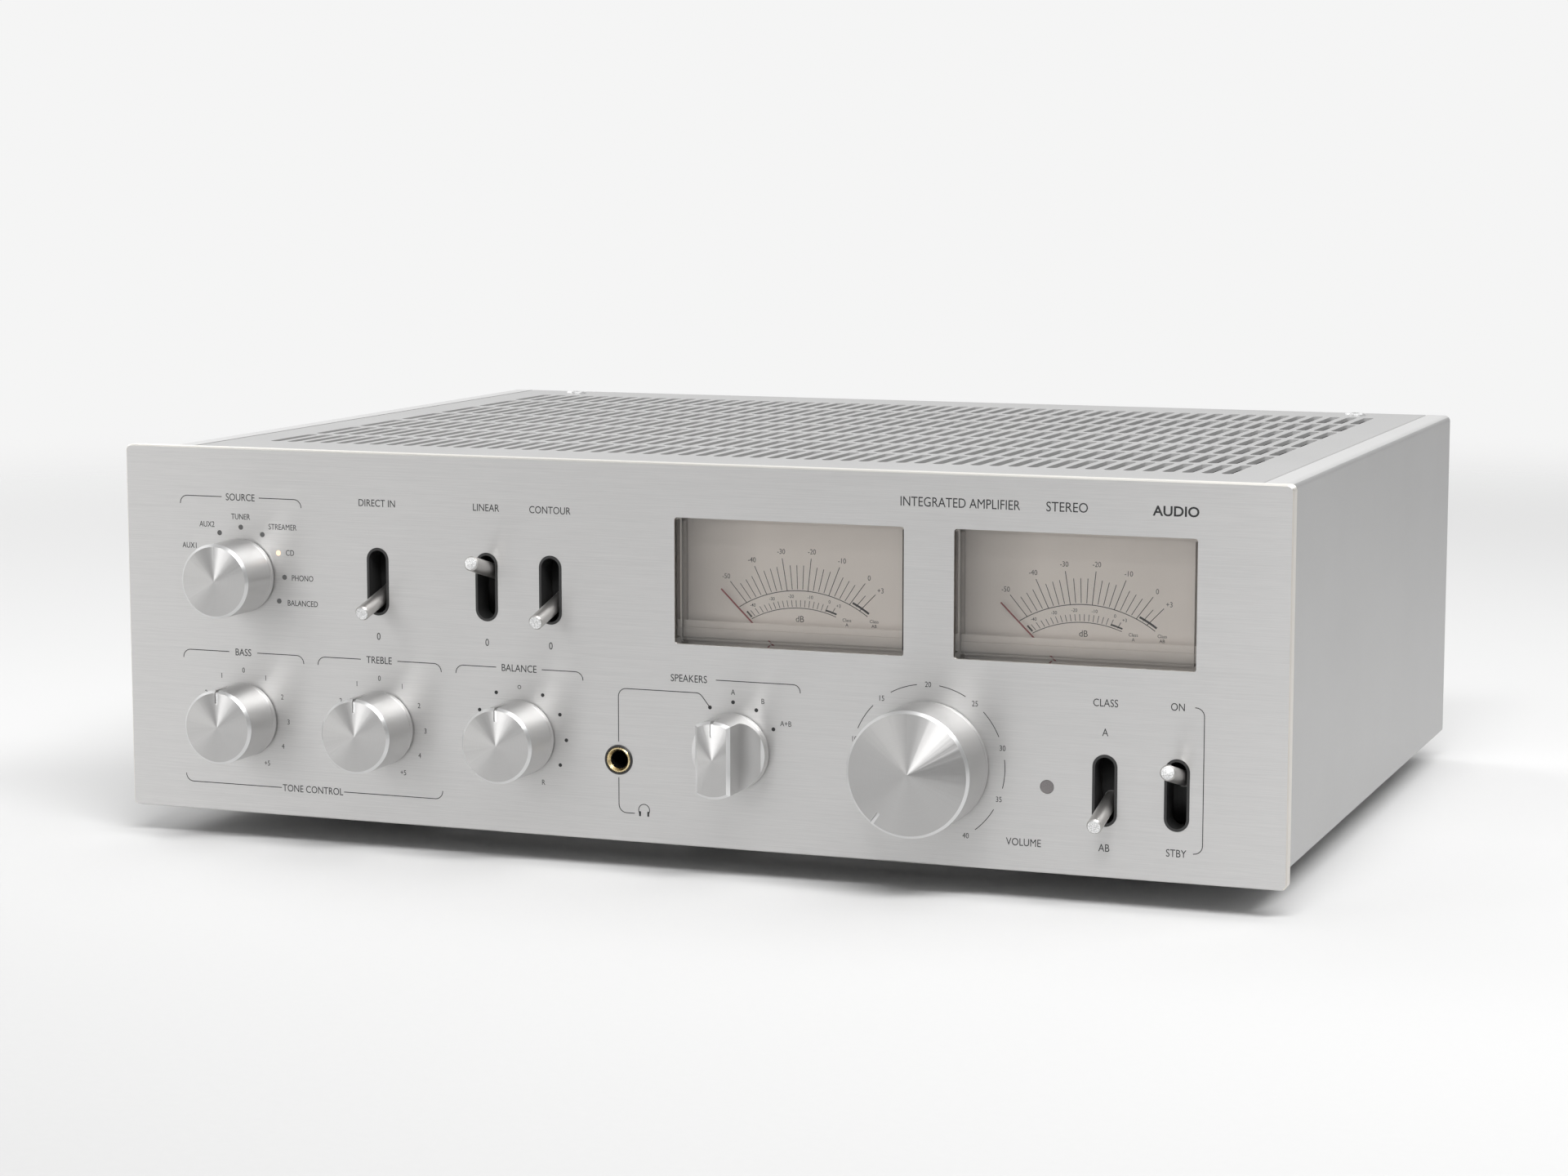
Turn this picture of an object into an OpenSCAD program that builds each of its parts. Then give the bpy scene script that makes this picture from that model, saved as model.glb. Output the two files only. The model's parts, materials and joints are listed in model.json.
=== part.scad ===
// Integrated stereo amplifier with twin level meters, as an assembly of separate pieces.
// +X runs to the right, +Y to the rear and +Z up. The origin is on the floor, at the middle of the footprint.
// Panel coordinates are [x, z] in millimetres: x from the middle of the panel, z from its lower edge.
// Depths run rearward from the panel's front face.

/* [Case] */
// Width of the front panel
panel_w = 450; // [448:1:454]
// Height of the front panel
panel_h = 139; // [138:1:142]
// Thickness of the front panel
panel_t = 5; // [4.5:0.5:5.5]
// Width over the side panels
case_w = 438; // [436:1:440]
// Depth from the front face to the rear edge of the case
case_d = 337; // [335:1:345]
// Gap between the floor and the lower edge of the front panel
foot_h = 11; // [9:1:14]

/* [Ventilation] */
// Slots across the top cover
slot_cols = 54; // [40:1:54]
// Rows of slots from front to rear
slot_rows = 7; // [4:1:7]
// Width of one slot
slot_w = 4.1; // [3:0.1:4.5]
// Length of one slot
slot_len = 33.5; // [25:0.5:34]

/* [Controls] */
// Radius of the small knobs
knob_r = 14; // [12:0.5:14.5]
// Height of the small knobs above the panel
knob_h = 21; // [18:0.5:22]
// Radius of the volume knob
volume_r = 22.5; // [20:0.5:23]
// Height of the volume knob above the panel
volume_h = 23.2; // [21:0.2:26]
// Direction of the volume pointer, clockwise from straight up
volume_pointer = -144; // [-150:1:150]
// Radius of a toggle lever
lever_r = 2.75; // [2.2:0.05:3]
// Tilt of a toggle lever away from level
lever_tilt = 14.3; // [10:0.1:15]

/* [Meters] */
// Width of a meter window
window_w = 86.8; // [84:0.2:88]
// Height of a meter window
window_h = 45.8; // [44:0.2:47]
// Direction of a needle at rest, clockwise from straight up
needle_rest = -45.5; // [-47:0.5:-40]

/* [Hidden] */
$fn = 48;

// Where the controls sit on the panel
source_spot = [-176.1, 90.9];
bass_spot = [-176.1, 35.9];
treble_spot = [-118.8, 35.9];
balance_spot = [-61.5, 35.9];
speaker_spot = [22.7, 35.9];
volume_spot = [96.2, 35.9];
small_spots = [source_spot, bass_spot, treble_spot, balance_spot, speaker_spot];
direct_spot = [-118.8, 91];
linear_spot = [-74.3, 91];
contour_spot = [-48.7, 91];
class_spot = [160.6, 30.6];
power_spot = [186.2, 30.6];
lever_spots = [direct_spot, linear_spot, contour_spot, class_spot, power_spot];
jack_spot = [-22, 30];
receiver_spot = [139.9, 30.6];
window_z = 96.7;
window_spots = [[43.6, window_z], [148.9, window_z]];
light_ring_r = 18.2;
light_angles = [for (a = [-60:30:120]) a];

// Front panel and sheet metal
panel_corner = 2.2;
panel_chamfer = 0.45;
sheet_t = 1.5;
side_t = 2.5;
case_z = 1;
case_top = 137;
side_flange = 9.6;
side_foot_flange = 12;
bend_r = 2.5;
cover_gap = 0.6;
floor_z = case_z + side_t;
floor_top = floor_z + sheet_t;
frame_top = case_top - sheet_t;
frame_shoulder = case_top - 12;
inner_x = case_w / 2 - side_t - 0.3;
cover_x = case_w / 2 - side_flange - cover_gap;
rear_y = case_d - 1;
rear_in = rear_y - sheet_t;
post_len = 21;
y_face = (volume_h - rear_y - post_len) / 2;
z_panel = foot_h;

// Top cover slots and screws
slot_pitch_x = 7.15;
slot_pitch_y = 37.8;
slot_first = 68;
cover_screw_x = 181;
cover_screw_depth = 323.5;
screw_head_r = 4.4;

// Knobs and shafts
knob_gap = 0.5;
knob_chamfer = 1;
shaft_r = 2.98;
knob_bore_r = 3;
bushing_bore_r = 3.05;
shaft_in = 16;
bar_w = 13.2;
bar_chamfer = 1.15;
bar_skirt = 5;

// Toggle levers
pivot_depth = 27;
lever_len = 41.7;
lever_slot = [9, 25.4];
bezel_wall = 1;
bezel_depth = 9;
shutter_r = 17.4;
shutter_t = 0.8;
shutter_half = 57;
switch_front = 31;
board_depth = 45;
board_t = 1.6;

// Meters
cover_front = 1;
housing_front = 8;
housing_back = 30;
dial_depth = 12.5;
dial_t = 0.8;
needle_depth = 10.6;
needle_drop = 32.6;
needle_len = 41.4;
housing_size = [92, 72.5];
housing_z = 86.3;
cavity_size = [86.6, 68];

// Feet
foot_r = 20;
foot_x = 178;
foot_depths = [80, 280];
pad_r = 16;

// Rear sockets, as [x, z]
rca_columns = [for (i = [0:5]) -196 + 18.5 * i];
rca_rows = [104, 85];
xlr_spots = [[-188, 38], [-152, 38]];
post_columns = [-56, -37, 70, 89];
post_rows = [38, 74];
post_spots = [for (z = post_rows, x = post_columns) [x, z]];
ground_spot = [-112, 60];
inlet_spot = [182, 50];
inlet_z = -13;
rocker_z = 17;
rocker_in = 3;
rocker_tilt = 10;

// Inside
toroid_x = 62;
toroid_depth = 135;
toroid_r = 56;
toroid_hole = 20;
toroid_h = 54;
toroid_base = floor_top + 2;
sink_x = 172;
sink_base = 8;
sink_fin = 30;
sink_front = 70;
sink_back = 245;
sink_h = 108;
board_z = 15;
supply_size = [192, 88];
supply_depth = 238;
amp_board_x = [121, 171.5];
preamp_z = 74;
preamp_x = [-212, -96];
preamp_depths = [258, 330];

// ---- Helpers ----

// A rectangle with round corners, centred.
module rounded_rect(size, r) {
    square([size.x - 2 * r, size.y], center = true);
    square([size.x, size.y - 2 * r], center = true);
    for (sx = [-1, 1], sy = [-1, 1])
        translate([sx * (size.x / 2 - r), sy * (size.y / 2 - r)]) circle(r);
}

// An upright slot with round ends, centred.
module stadium(size) {
    square([size.x, size.y - size.x], center = true);
    for (s = [-1, 1]) translate([0, s * (size.y - size.x) / 2]) circle(size.x / 2);
}

// A flat piece drawn in panel coordinates, from one depth rearward.
module slab(depth, t) {
    translate([0, y_face + depth + t, z_panel]) rotate([90, 0, 0]) linear_extrude(t) children();
}

// Places a piece whose own z runs out of the panel towards the user, with y up.
module at_front(spot) {
    translate([spot.x, y_face, z_panel + spot.y]) rotate([90, 0, 0]) children();
}

// Places a piece whose own z runs out of the rear panel, with y down.
module at_rear(spot) {
    translate([spot.x, y_face + rear_y, z_panel + spot.y]) rotate([-90, 0, 0]) children();
}

// Places an upright piece inside the case.
module inside(x, depth, z) {
    translate([x, y_face + depth, z_panel + z]) children();
}

// A profile drawn in [depth, height], extruded along +x and centred.
module along_x(len) {
    rotate([90, 0, 90]) translate([0, 0, -len / 2]) linear_extrude(len) children();
}

module at_spots(spots) {
    for (s = spots) translate(s) children();
}

// ---- Case ----

// The panel's blank: round corners and a fine chamfer round the front edge.
module panel_blank() {
    w = panel_w;
    c = panel_chamfer;
    r = panel_corner;
    translate([0, y_face, z_panel])
        along_x(w - 2 * r)
            polygon([[c, 0], [panel_t, 0], [panel_t, panel_h], [c, panel_h], [0, panel_h - c], [0, c]]);
    translate([0, y_face, z_panel + r]) linear_extrude(panel_h - 2 * r)
        polygon([[-w / 2, c], [-w / 2, panel_t], [w / 2, panel_t], [w / 2, c], [w / 2 - c, 0], [c - w / 2, 0]]);
    for (sx = [-1, 1], z = [r, panel_h - r]) at_front([sx * (w / 2 - r), z]) {
        translate([0, 0, -panel_t]) cylinder(r = r, h = panel_t - c);
        translate([0, 0, -c]) cylinder(r1 = r, r2 = r - c, h = c);
    }
}

module front_panel() {
    color("#c9c9c6") difference() {
        panel_blank();
        slab(-1, panel_t + 2) {
            at_spots(window_spots) rounded_rect([window_w, window_h], 1);
            at_spots(lever_spots) stadium(lever_slot);
            at_spots(concat(small_spots, [volume_spot])) circle(6.5);
            translate(jack_spot) circle(5.5);
            translate(receiver_spot) circle(2.5);
            translate(source_spot) for (a = light_angles) rotate(-a) translate([0, light_ring_r]) circle(1);
        }
    }
}

// A wall across the case, narrower along the top, where the cover and the side panels fold inwards.
module cross_wall(depth, low) {
    slab(depth, sheet_t) {
        translate([0, (low + frame_shoulder) / 2]) square([2 * inner_x, frame_shoulder - low], center = true);
        translate([0, (low + frame_top) / 2]) square([2 * cover_x - 6, frame_top - low], center = true);
    }
}

// The steel frame behind the panel carries the controls, the meters and the front of the cover.
module front_subframe() {
    color("#8f9294") difference() {
        union() {
            cross_wall(panel_t, floor_top);
            slab(panel_t, 31) translate([0, frame_top - sheet_t / 2]) square([2 * cover_x - 6, sheet_t], center = true);
            slab(panel_t, 15) translate([0, floor_top + sheet_t / 2]) square([2 * inner_x - 30, sheet_t], center = true);
        }
        slab(0, 20) {
            at_spots(window_spots) square([window_w + 1.6, window_h + 1.6], center = true);
            at_spots(lever_spots) stadium(lever_slot + [4, 4]);
            at_spots(concat(small_spots, [volume_spot])) circle(3.6);
            translate(jack_spot) circle(5);
            translate(receiver_spot) circle(3);
            translate(source_spot) for (a = light_angles) rotate(-a) translate([0, light_ring_r]) circle(1.4);
        }
    }
}

// A panel folded from thick sheet: a wall, a narrow flange along the top and another under the floor.
module side_profile() {
    x = case_w / 2;
    difference() {
        union() {
            translate([x - side_flange, case_top - side_t]) square([side_flange - bend_r, side_t]);
            translate([x - bend_r, case_top - bend_r]) circle(bend_r);
            translate([x - side_t, case_z + 1]) square([side_t, case_top - case_z - 1 - bend_r]);
            translate([x - 1, case_z + 1]) circle(1);
            translate([x - side_foot_flange, case_z]) square([side_foot_flange - 1, side_t]);
        }
        translate([x - side_foot_flange - 1, floor_z])
            square([side_foot_flange + 1 - side_t, case_top - side_t - floor_z]);
    }
}

module side_panel(side) {
    color("#b9b9b7") mirror([side < 0 ? 1 : 0, 0, 0]) slab(panel_t, case_d - panel_t) side_profile();
}

module cover_slots() {
    for (row = [0:slot_rows - 1], col = [0:slot_cols - 1])
        translate([(col - (slot_cols - 1) / 2) * slot_pitch_x, y_face + slot_first + row * slot_pitch_y])
            stadium([slot_w, slot_len]);
}

module top_cover() {
    len = case_d - panel_t - 1;
    color("#c4c4c2") difference() {
        slab(panel_t + 0.5, len) {
            translate([0, case_top - sheet_t / 2]) square([2 * cover_x - 1, sheet_t], center = true);
            for (sx = [-1, 1]) translate([sx * (cover_x - 0.5), case_top - 0.5]) circle(0.5);
            for (sx = [-1, 1]) translate([sx * (cover_x - sheet_t / 2), case_top - 5.75]) square([sheet_t, 10.5], center = true);
        }
        translate([0, 0, z_panel + case_top - 5]) linear_extrude(10) cover_slots();
        for (sx = [-1, 1]) inside(sx * cover_screw_x, cover_screw_depth, case_top - 5) cylinder(r = 2.2, h = 10);
    }
}

module base_vents() {
    for (sx = [-1, 1], row = [0:2], col = [0:11])
        translate([sx * (14 + col * 9), [56, 205, 300][row]]) stadium([4, 26]);
}

module base_plate() {
    depth = rear_in - panel_t - sheet_t;
    color("#8f9294") difference() {
        slab(panel_t + sheet_t, depth) translate([0, floor_z + sheet_t / 2]) square([2 * inner_x, sheet_t], center = true);
        translate([0, y_face, z_panel + floor_z - 1]) linear_extrude(sheet_t + 2) {
            base_vents();
            for (sx = [-1, 1]) translate([sx * toroid_x, toroid_depth]) circle(4.2);
            for (sx = [-1, 1], d = foot_depths) translate([sx * foot_x, d]) circle(2.6);
        }
    }
}

module rear_cutouts() {
    for (x = rca_columns, z = rca_rows) translate([x, z]) circle(4.25);
    at_spots(xlr_spots) circle(12);
    at_spots(post_spots) circle(5);
    translate(ground_spot) circle(2.1);
    translate(inlet_spot) square([27, 56.4], center = true);
}

module rear_panel() {
    color("#8f9294") difference() {
        union() {
            cross_wall(rear_in, floor_z);
            slab(rear_in - 24, 24) translate([0, frame_top - sheet_t / 2]) square([2 * cover_x - 6, sheet_t], center = true);
        }
        slab(rear_in - 1, sheet_t + 2) rear_cutouts();
        for (sx = [-1, 1]) inside(sx * cover_screw_x, cover_screw_depth, frame_top - 5) cylinder(r = 2, h = 10);
    }
}

module feet() {
    top = floor_z;
    low = -foot_h + 1.5;
    color("#3a3a3a") for (sx = [-1, 1], d = foot_depths) inside(sx * foot_x, d, 0) rotate_extrude()
        polygon([[2.6, top], [foot_r, top], [foot_r, low + 4], [foot_r - 1.5, low], [pad_r + 0.2, low],
                 [pad_r + 0.2, low + 2], [5.4, low + 2], [5.4, low + 5], [2.6, low + 5]]);
}

module foot_pads() {
    color("#202020") for (sx = [-1, 1], d = foot_depths)
        inside(sx * foot_x, d, -foot_h) rotate_extrude()
            polygon([[0, 0], [pad_r - 0.8, 0], [pad_r, 0.8], [pad_r, 3.5], [0, 3.5]]);
}

// A socket-head screw whose own z points out of the head, with the head's underside at 0.
module socket_screw(head_r, head_h, shank_r, len) {
    difference() {
        rotate_extrude() polygon([[0, -len], [shank_r, -len], [shank_r, 0], [head_r, 0],
                                  [head_r, head_h - 0.4], [head_r - 0.4, head_h], [0, head_h]]);
        translate([0, 0, head_h * 0.3]) cylinder(r = head_r * 0.42, h = head_h, $fn = 6);
    }
}

module case_screws() {
    color("#dcdcda") {
        for (sx = [-1, 1])
            inside(sx * cover_screw_x, cover_screw_depth, case_top) socket_screw(screw_head_r, 1, 1.95, 9);
        for (sx = [-1, 1], d = foot_depths)
            inside(sx * foot_x, d, -foot_h + 6.5) rotate([180, 0, 0]) socket_screw(5.2, 2.6, 2.5, 9.4);
    }
}

// ---- Knobs ----

// A turned knob on its own axis, with the bore that takes the shaft.
module knob_blank(r, h) {
    groove = 3;
    rotate_extrude() polygon([
        [knob_bore_r, knob_gap], [r - 0.3, knob_gap], [r, knob_gap + 0.3], [r, groove - 0.2], [r - 0.2, groove],
        [r, groove + 0.2], [r, h - knob_chamfer], [r - knob_chamfer, h], [0, h], [0, h - 5], [knob_bore_r, h - 5]
    ]);
}

// The milled pointer: a shallow slot in the face that runs out along the side.
module pointer_slot(r, h, face_len, side_len) {
    w = 1.3;
    translate([0, 0, h - 0.9]) linear_extrude(2) {
        translate([0, r - face_len]) circle(w / 2);
        translate([-w / 2, r - face_len]) square([w, face_len + 1]);
    }
    if (side_len > 0)
        along_x(w) polygon([[r - 1.2, h + 0.1], [r + 1, h + 0.1], [r + 1, h - side_len], [r, h - side_len]]);
}

module knob_shaft(h) {
    translate([0, 0, -shaft_in]) cylinder(r = shaft_r, h = shaft_in + h - 5.2);
}

module small_knob(spot, pointer) {
    color("#d2d2cf") at_front(spot) {
        difference() {
            knob_blank(knob_r, knob_h);
            if (pointer) pointer_slot(knob_r, knob_h, 4.6, 11);
        }
        knob_shaft(knob_h);
    }
}

// The speaker knob is milled down on both sides to leave a grip bar.
module speaker_knob() {
    cove = knob_r - bar_w / 2 + 0.3;
    color("#d2d2cf") at_front(speaker_spot) {
        difference() {
            knob_blank(knob_r, knob_h);
            for (side = [-1, 1]) rotate([90, 0, 0]) linear_extrude(2 * knob_r + 2, center = true) {
                translate([side > 0 ? bar_w / 2 : -bar_w / 2 - 2 * cove, bar_skirt + cove]) square([2 * cove, knob_h]);
                translate([side * (bar_w / 2 + cove), bar_skirt + cove]) circle(cove);
                translate([side * bar_w / 2, knob_h]) rotate(45) square(bar_chamfer * sqrt(2), center = true);
            }
            pointer_slot(knob_r, knob_h, 5.2, 9);
        }
        knob_shaft(knob_h);
    }
}

module volume_knob() {
    color("#d2d2cf") at_front(volume_spot) rotate(-volume_pointer) {
        difference() {
            knob_blank(volume_r, volume_h);
            pointer_slot(volume_r, volume_h, 4.6, 0);
        }
        knob_shaft(volume_h);
    }
}

// ---- Controls behind the panel ----

// A threaded bushing through the frame and its hexagon nut, with the shaft's bore through both.
module bushing(back) {
    difference() {
        union() {
            translate([0, 0, -back]) cylinder(r = 3.5, h = back - 2);
            children();
        }
        translate([0, 0, -17]) cylinder(r = bushing_bore_r, h = 20);
    }
    difference() {
        translate([0, 0, -panel_t]) cylinder(r = 5.7, h = 2, $fn = 6);
        translate([0, 0, -panel_t - 1]) cylinder(r = 3.55, h = 4);
    }
}

// A box body of a control, from just behind the frame rearward.
module control_body(size, depth) {
    front = panel_t + sheet_t;
    translate([0, 0, -front - depth / 2]) cube([size, size, depth], center = true);
}

module source_encoder() {
    color("#4a5a50") at_front(source_spot) bushing(12) {
        control_body(14, 12);
        for (x = [-5, 0, 5]) translate([x, -8.5, -16]) cube([1, 4, 0.6], center = true);
    }
}

module tone_potentiometers() {
    color("#4a5a50") for (spot = [bass_spot, treble_spot, balance_spot]) at_front(spot) bushing(12) {
        control_body(17, 14);
        for (x = [-5, 0, 5], z = [-11, -17]) translate([x, -10, z]) cube([1.2, 5, 0.6], center = true);
    }
}

// A rotary switch of stacked wafers on two tie rods.
module speaker_selector() {
    color("#6a5a40") at_front(speaker_spot) bushing(12) {
        control_body(20, 5);
        for (z = [-18, -26, -34]) translate([0, 0, z]) cylinder(r = 12.5, h = 2);
        for (x = [-9, 9]) translate([x, 0, -36]) cylinder(r = 1.5, h = 28);
        translate([0, 0, -36]) cylinder(r = 3.6, h = 26);
    }
}

// The volume potentiometer carries a gearbox and a motor behind it, for the remote control.
module volume_potentiometer() {
    color("#4a5a50") at_front(volume_spot) bushing(12) {
        control_body(24, 18);
        translate([0, 0, -29]) cube([26, 26, 9], center = true);
        translate([0, 0, -60]) cylinder(r = 11.5, h = 28);
        for (x = [-7, 0, 7]) translate([x, -14, -14]) cube([1.2, 5, 0.6], center = true);
    }
}

// A lever with its cross pin, and the curved shutter that keeps its slot closed.
module lever(spot, tilt) {
    color("#d8d8d5") translate([spot.x, y_face + pivot_depth, z_panel + spot.y]) rotate([tilt, 0, 0]) {
        rotate([90, 0, 0]) rotate_extrude()
            polygon([[0, -2.5], [2, -2.5], [lever_r, -1.8], [lever_r, lever_len - 0.55],
                     [lever_r - 0.45, lever_len], [0, lever_len + 0.3]]);
        rotate([0, 90, 0]) cylinder(r = 1, h = 9.8, center = true);
        rotate([0, 90, 0]) rotate([0, 0, -90 - shutter_half]) rotate_extrude(angle = 2 * shutter_half)
            translate([shutter_r - shutter_t, -4.4]) square([shutter_t, 8.8]);
    }
}

module lever_bezels() {
    inner = lever_slot - 2 * [bezel_wall, bezel_wall];
    color("#262626") for (spot = lever_spots) {
        slab(-0.15, bezel_depth + 0.15) translate(spot) difference() {
            stadium(lever_slot - [0.1, 0.1]);
            stadium(inner);
        }
        slab(panel_t, 1.4) translate(spot) difference() {
            stadium(lever_slot + [3.6, 3.6]);
            stadium(inner);
        }
    }
}

module toggle_switches() {
    depth = board_depth - switch_front;
    color("#303438") for (spot = lever_spots) translate([spot.x, y_face, z_panel + spot.y]) {
        translate([0, switch_front + depth / 2, 0]) cube([14, depth, 19], center = true);
        difference() {
            for (s = [-1, 1]) translate([s * 4.35, (22 + switch_front) / 2, 0]) cube([1.5, switch_front - 22, 8], center = true);
            translate([0, pivot_depth, 0]) rotate([0, 90, 0]) cylinder(r = 1.05, h = 20, center = true);
        }
    }
}

// The circuit boards behind the levers, each on four posts to the frame.
module control_boards() {
    boards = [[[-95, 91], [130, 40]], [[173.4, 30.6], [54, 34]]];
    posts = board_depth - panel_t - sheet_t;
    color("#2f5a3c") for (b = boards) {
        slab(board_depth, board_t) translate(b[0]) square(b[1], center = true);
        for (sx = [-1, 1], sz = [-1, 1]) at_front(b[0] + [sx * (b[1].x / 2 - 3), sz * (b[1].y / 2 - 3)])
            translate([0, 0, -board_depth]) cylinder(r = 2.5, h = posts);
    }
}

// A 6.35 mm socket: the flared bushing in the panel and the body behind the frame.
module headphone_jack() {
    color("#c8a850") at_front(jack_spot) difference() {
        union() {
            rotate_extrude() polygon([[0, -7], [4.7, -7], [4.7, 0.3], [4.3, 0.7], [0, 0.7]]);
            translate([0, 0, -22]) cube([17, 17, 31 - 1], center = true);
        }
        translate([0, 0, -34]) cylinder(r = 3.25, h = 40);
        translate([0, 0, -0.4]) cylinder(r1 = 3.25, r2 = 4.15, h = 1.2);
    }
}

module jack_collar() {
    color("#242628") at_front(jack_spot) rotate_extrude()
        polygon([[4.75, -panel_t + 0.1], [5.45, -panel_t + 0.1], [5.45, 0.25], [5.2, 0.5], [4.75, 0.5]]);
}

module remote_receiver() {
    color("#55504e") at_front(receiver_spot) {
        translate([0, 0, -8]) cylinder(r = 2.4, h = 7.9);
        translate([0, 0, -10]) cube([7, 8, 5], center = true);
    }
}

module source_lights() {
    color("#f0ddc0") at_front(source_spot) for (a = light_angles)
        rotate(-a) translate([0, light_ring_r, -10]) cylinder(r = 0.95, h = 10);
}

// ---- Meters ----

module meter_housings() {
    color("#1c1c1c") for (spot = window_spots) difference() {
        slab(housing_front, housing_back - housing_front) translate([spot.x, housing_z]) square(housing_size, center = true);
        slab(housing_front - 1, dial_depth + dial_t - housing_front + 1)
            translate([spot.x, housing_z]) square(cavity_size, center = true);
        slab(housing_front, housing_back - housing_front - 2)
            translate([spot.x, housing_z]) square(cavity_size - [8, 4], center = true);
    }
}

// The painted dial plate and the stepped trim strip that hides the needle's lower end.
module meter_dials() {
    color("#b5aca6") for (spot = window_spots) {
        difference() {
            slab(dial_depth, dial_t) translate([spot.x, housing_z]) square(cavity_size - [0.2, 0.2], center = true);
            slab(dial_depth - 1, dial_t + 2) translate(spot - [0, needle_drop]) circle(3);
        }
        slab(8.9, 0.8) translate([spot.x, 78.4]) square([cavity_size.x, 6], center = true);
        slab(8.2, 0.7) translate([spot.x, 77.2]) square([cavity_size.x, 3.4], center = true);
    }
}

// A clear moulded tray: its face stands in the window and its flange is held behind the frame.
module meter_covers() {
    tray = [window_w - 0.4, window_h - 0.4];
    flange_front = panel_t + sheet_t;
    color("#dfe6ea", 0.35) for (spot = window_spots) {
        slab(cover_front, 1.5) translate(spot) rounded_rect(tray, 1);
        slab(cover_front, housing_front - cover_front) translate(spot) difference() {
            rounded_rect(tray, 1);
            square(tray - [2.4, 2.4], center = true);
        }
        slab(flange_front, housing_front - flange_front) difference() {
            translate([spot.x, housing_z]) square(housing_size, center = true);
            translate(spot) square(tray - [2.4, 2.4], center = true);
        }
    }
}

// The magnet and pole block behind each dial, with the bearing that takes the needle's pivot.
module meter_movements() {
    color("#777a7d") for (spot = window_spots) at_front(spot - [0, needle_drop]) difference() {
        union() {
            translate([0, 0, -housing_back + 2]) cylinder(r = 9, h = 13);
            translate([0, 0, -housing_back + 2]) cylinder(r = 2.6, h = 16.4);
        }
        translate([0, 0, -25]) cylinder(r = 0.65, h = 20);
    }
}

module meter_needle(spot) {
    color("#a5282c") at_front(spot - [0, needle_drop]) rotate(-needle_rest) {
        translate([0, 0, -needle_depth - 0.7]) cylinder(r = 2.4, h = 1.3);
        translate([0, 0, -23]) cylinder(r = 0.6, h = 23 - needle_depth);
        translate([-0.25, 0, -needle_depth - 0.2]) cube([0.5, needle_len, 0.4]);
        translate([-0.9, -8, -needle_depth - 0.5]) cube([1.8, 7, 1]);
    }
}

// ---- Rear ----

module rca_socket() {
    difference() {
        union() {
            translate([0, 0, -sheet_t - 9]) cylinder(r = 5.4, h = 9);
            translate([0, 0, -sheet_t]) cylinder(r = 4.15, h = sheet_t + 9.5);
            cylinder(r = 6.3, h = 2.2, $fn = 6);
        }
        translate([0, 0, -4]) cylinder(r = 1.65, h = 20);
        translate([0, 0, 1.5]) difference() {
            cylinder(r = 3.65, h = 10);
            translate([0, 0, -1]) cylinder(r = 2.9, h = 20);
        }
    }
}

module rca_sockets() {
    color("#c8a850") for (x = rca_columns, z = rca_rows) at_rear([x, z]) rca_socket();
}

module xlr_sockets() {
    color("#2c2e30") for (spot = xlr_spots) at_rear(spot) difference() {
        union() {
            linear_extrude(2) rounded_rect([26, 31], 3);
            translate([0, 0, -20]) cylinder(r = 11.9, h = 21);
        }
        translate([0, 0, -10]) difference() {
            cylinder(r = 9.7, h = 20);
            translate([0, 0, -1]) cylinder(r = 7.9, h = 22);
        }
        for (a = [90, 210, 330]) rotate(a) translate([4.4, 0, -8]) cylinder(r = 1.3, h = 20);
        for (s = [-1, 1]) translate([s * 9.5, -s * 12, -1]) cylinder(r = 1.6, h = 5);
    }
}

module speaker_posts() {
    color("#c8a850") for (spot = post_spots) at_rear(spot) difference() {
        rotate_extrude() polygon([
            [0, -16], [3, -16], [3, -sheet_t - 3], [7, -sheet_t - 3], [7, -sheet_t], [4.9, -sheet_t],
            [4.9, 0], [7.5, 0], [7.5, 4], [7, 4.5], [3, 4.5], [3, post_len], [0, post_len]
        ]);
        translate([0, 0, post_len - 15]) cylinder(r = 2, h = 20);
    }
}

// A fluted binding-post cap that turns on its stud.
module speaker_cap(i) {
    color(i % 2 == 0 ? "#222222" : "#a02020") at_rear(post_spots[i]) difference() {
        rotate_extrude() polygon([[3.05, 5], [7.6, 5], [8, 5.4], [8, 18.6], [7.2, 19.5], [3.05, 19.5]]);
        for (a = [0:30:330]) rotate(a) translate([8.6, 0, 7.5]) cylinder(r = 1.1, h = 20);
    }
}

// The knurled earth screw beside the phono sockets.
module ground_screw() {
    color("#c8a850") at_rear(ground_spot) difference() {
        rotate_extrude() polygon([[0, -10], [2, -10], [2, 1], [3.4, 1], [3.4, 3], [5.5, 3], [5.5, 11], [5, 11.5], [0, 11.5]]);
        for (a = [0:30:330]) rotate(a) translate([5.9, 0, 4]) cylinder(r = 0.8, h = 10);
    }
}

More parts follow.
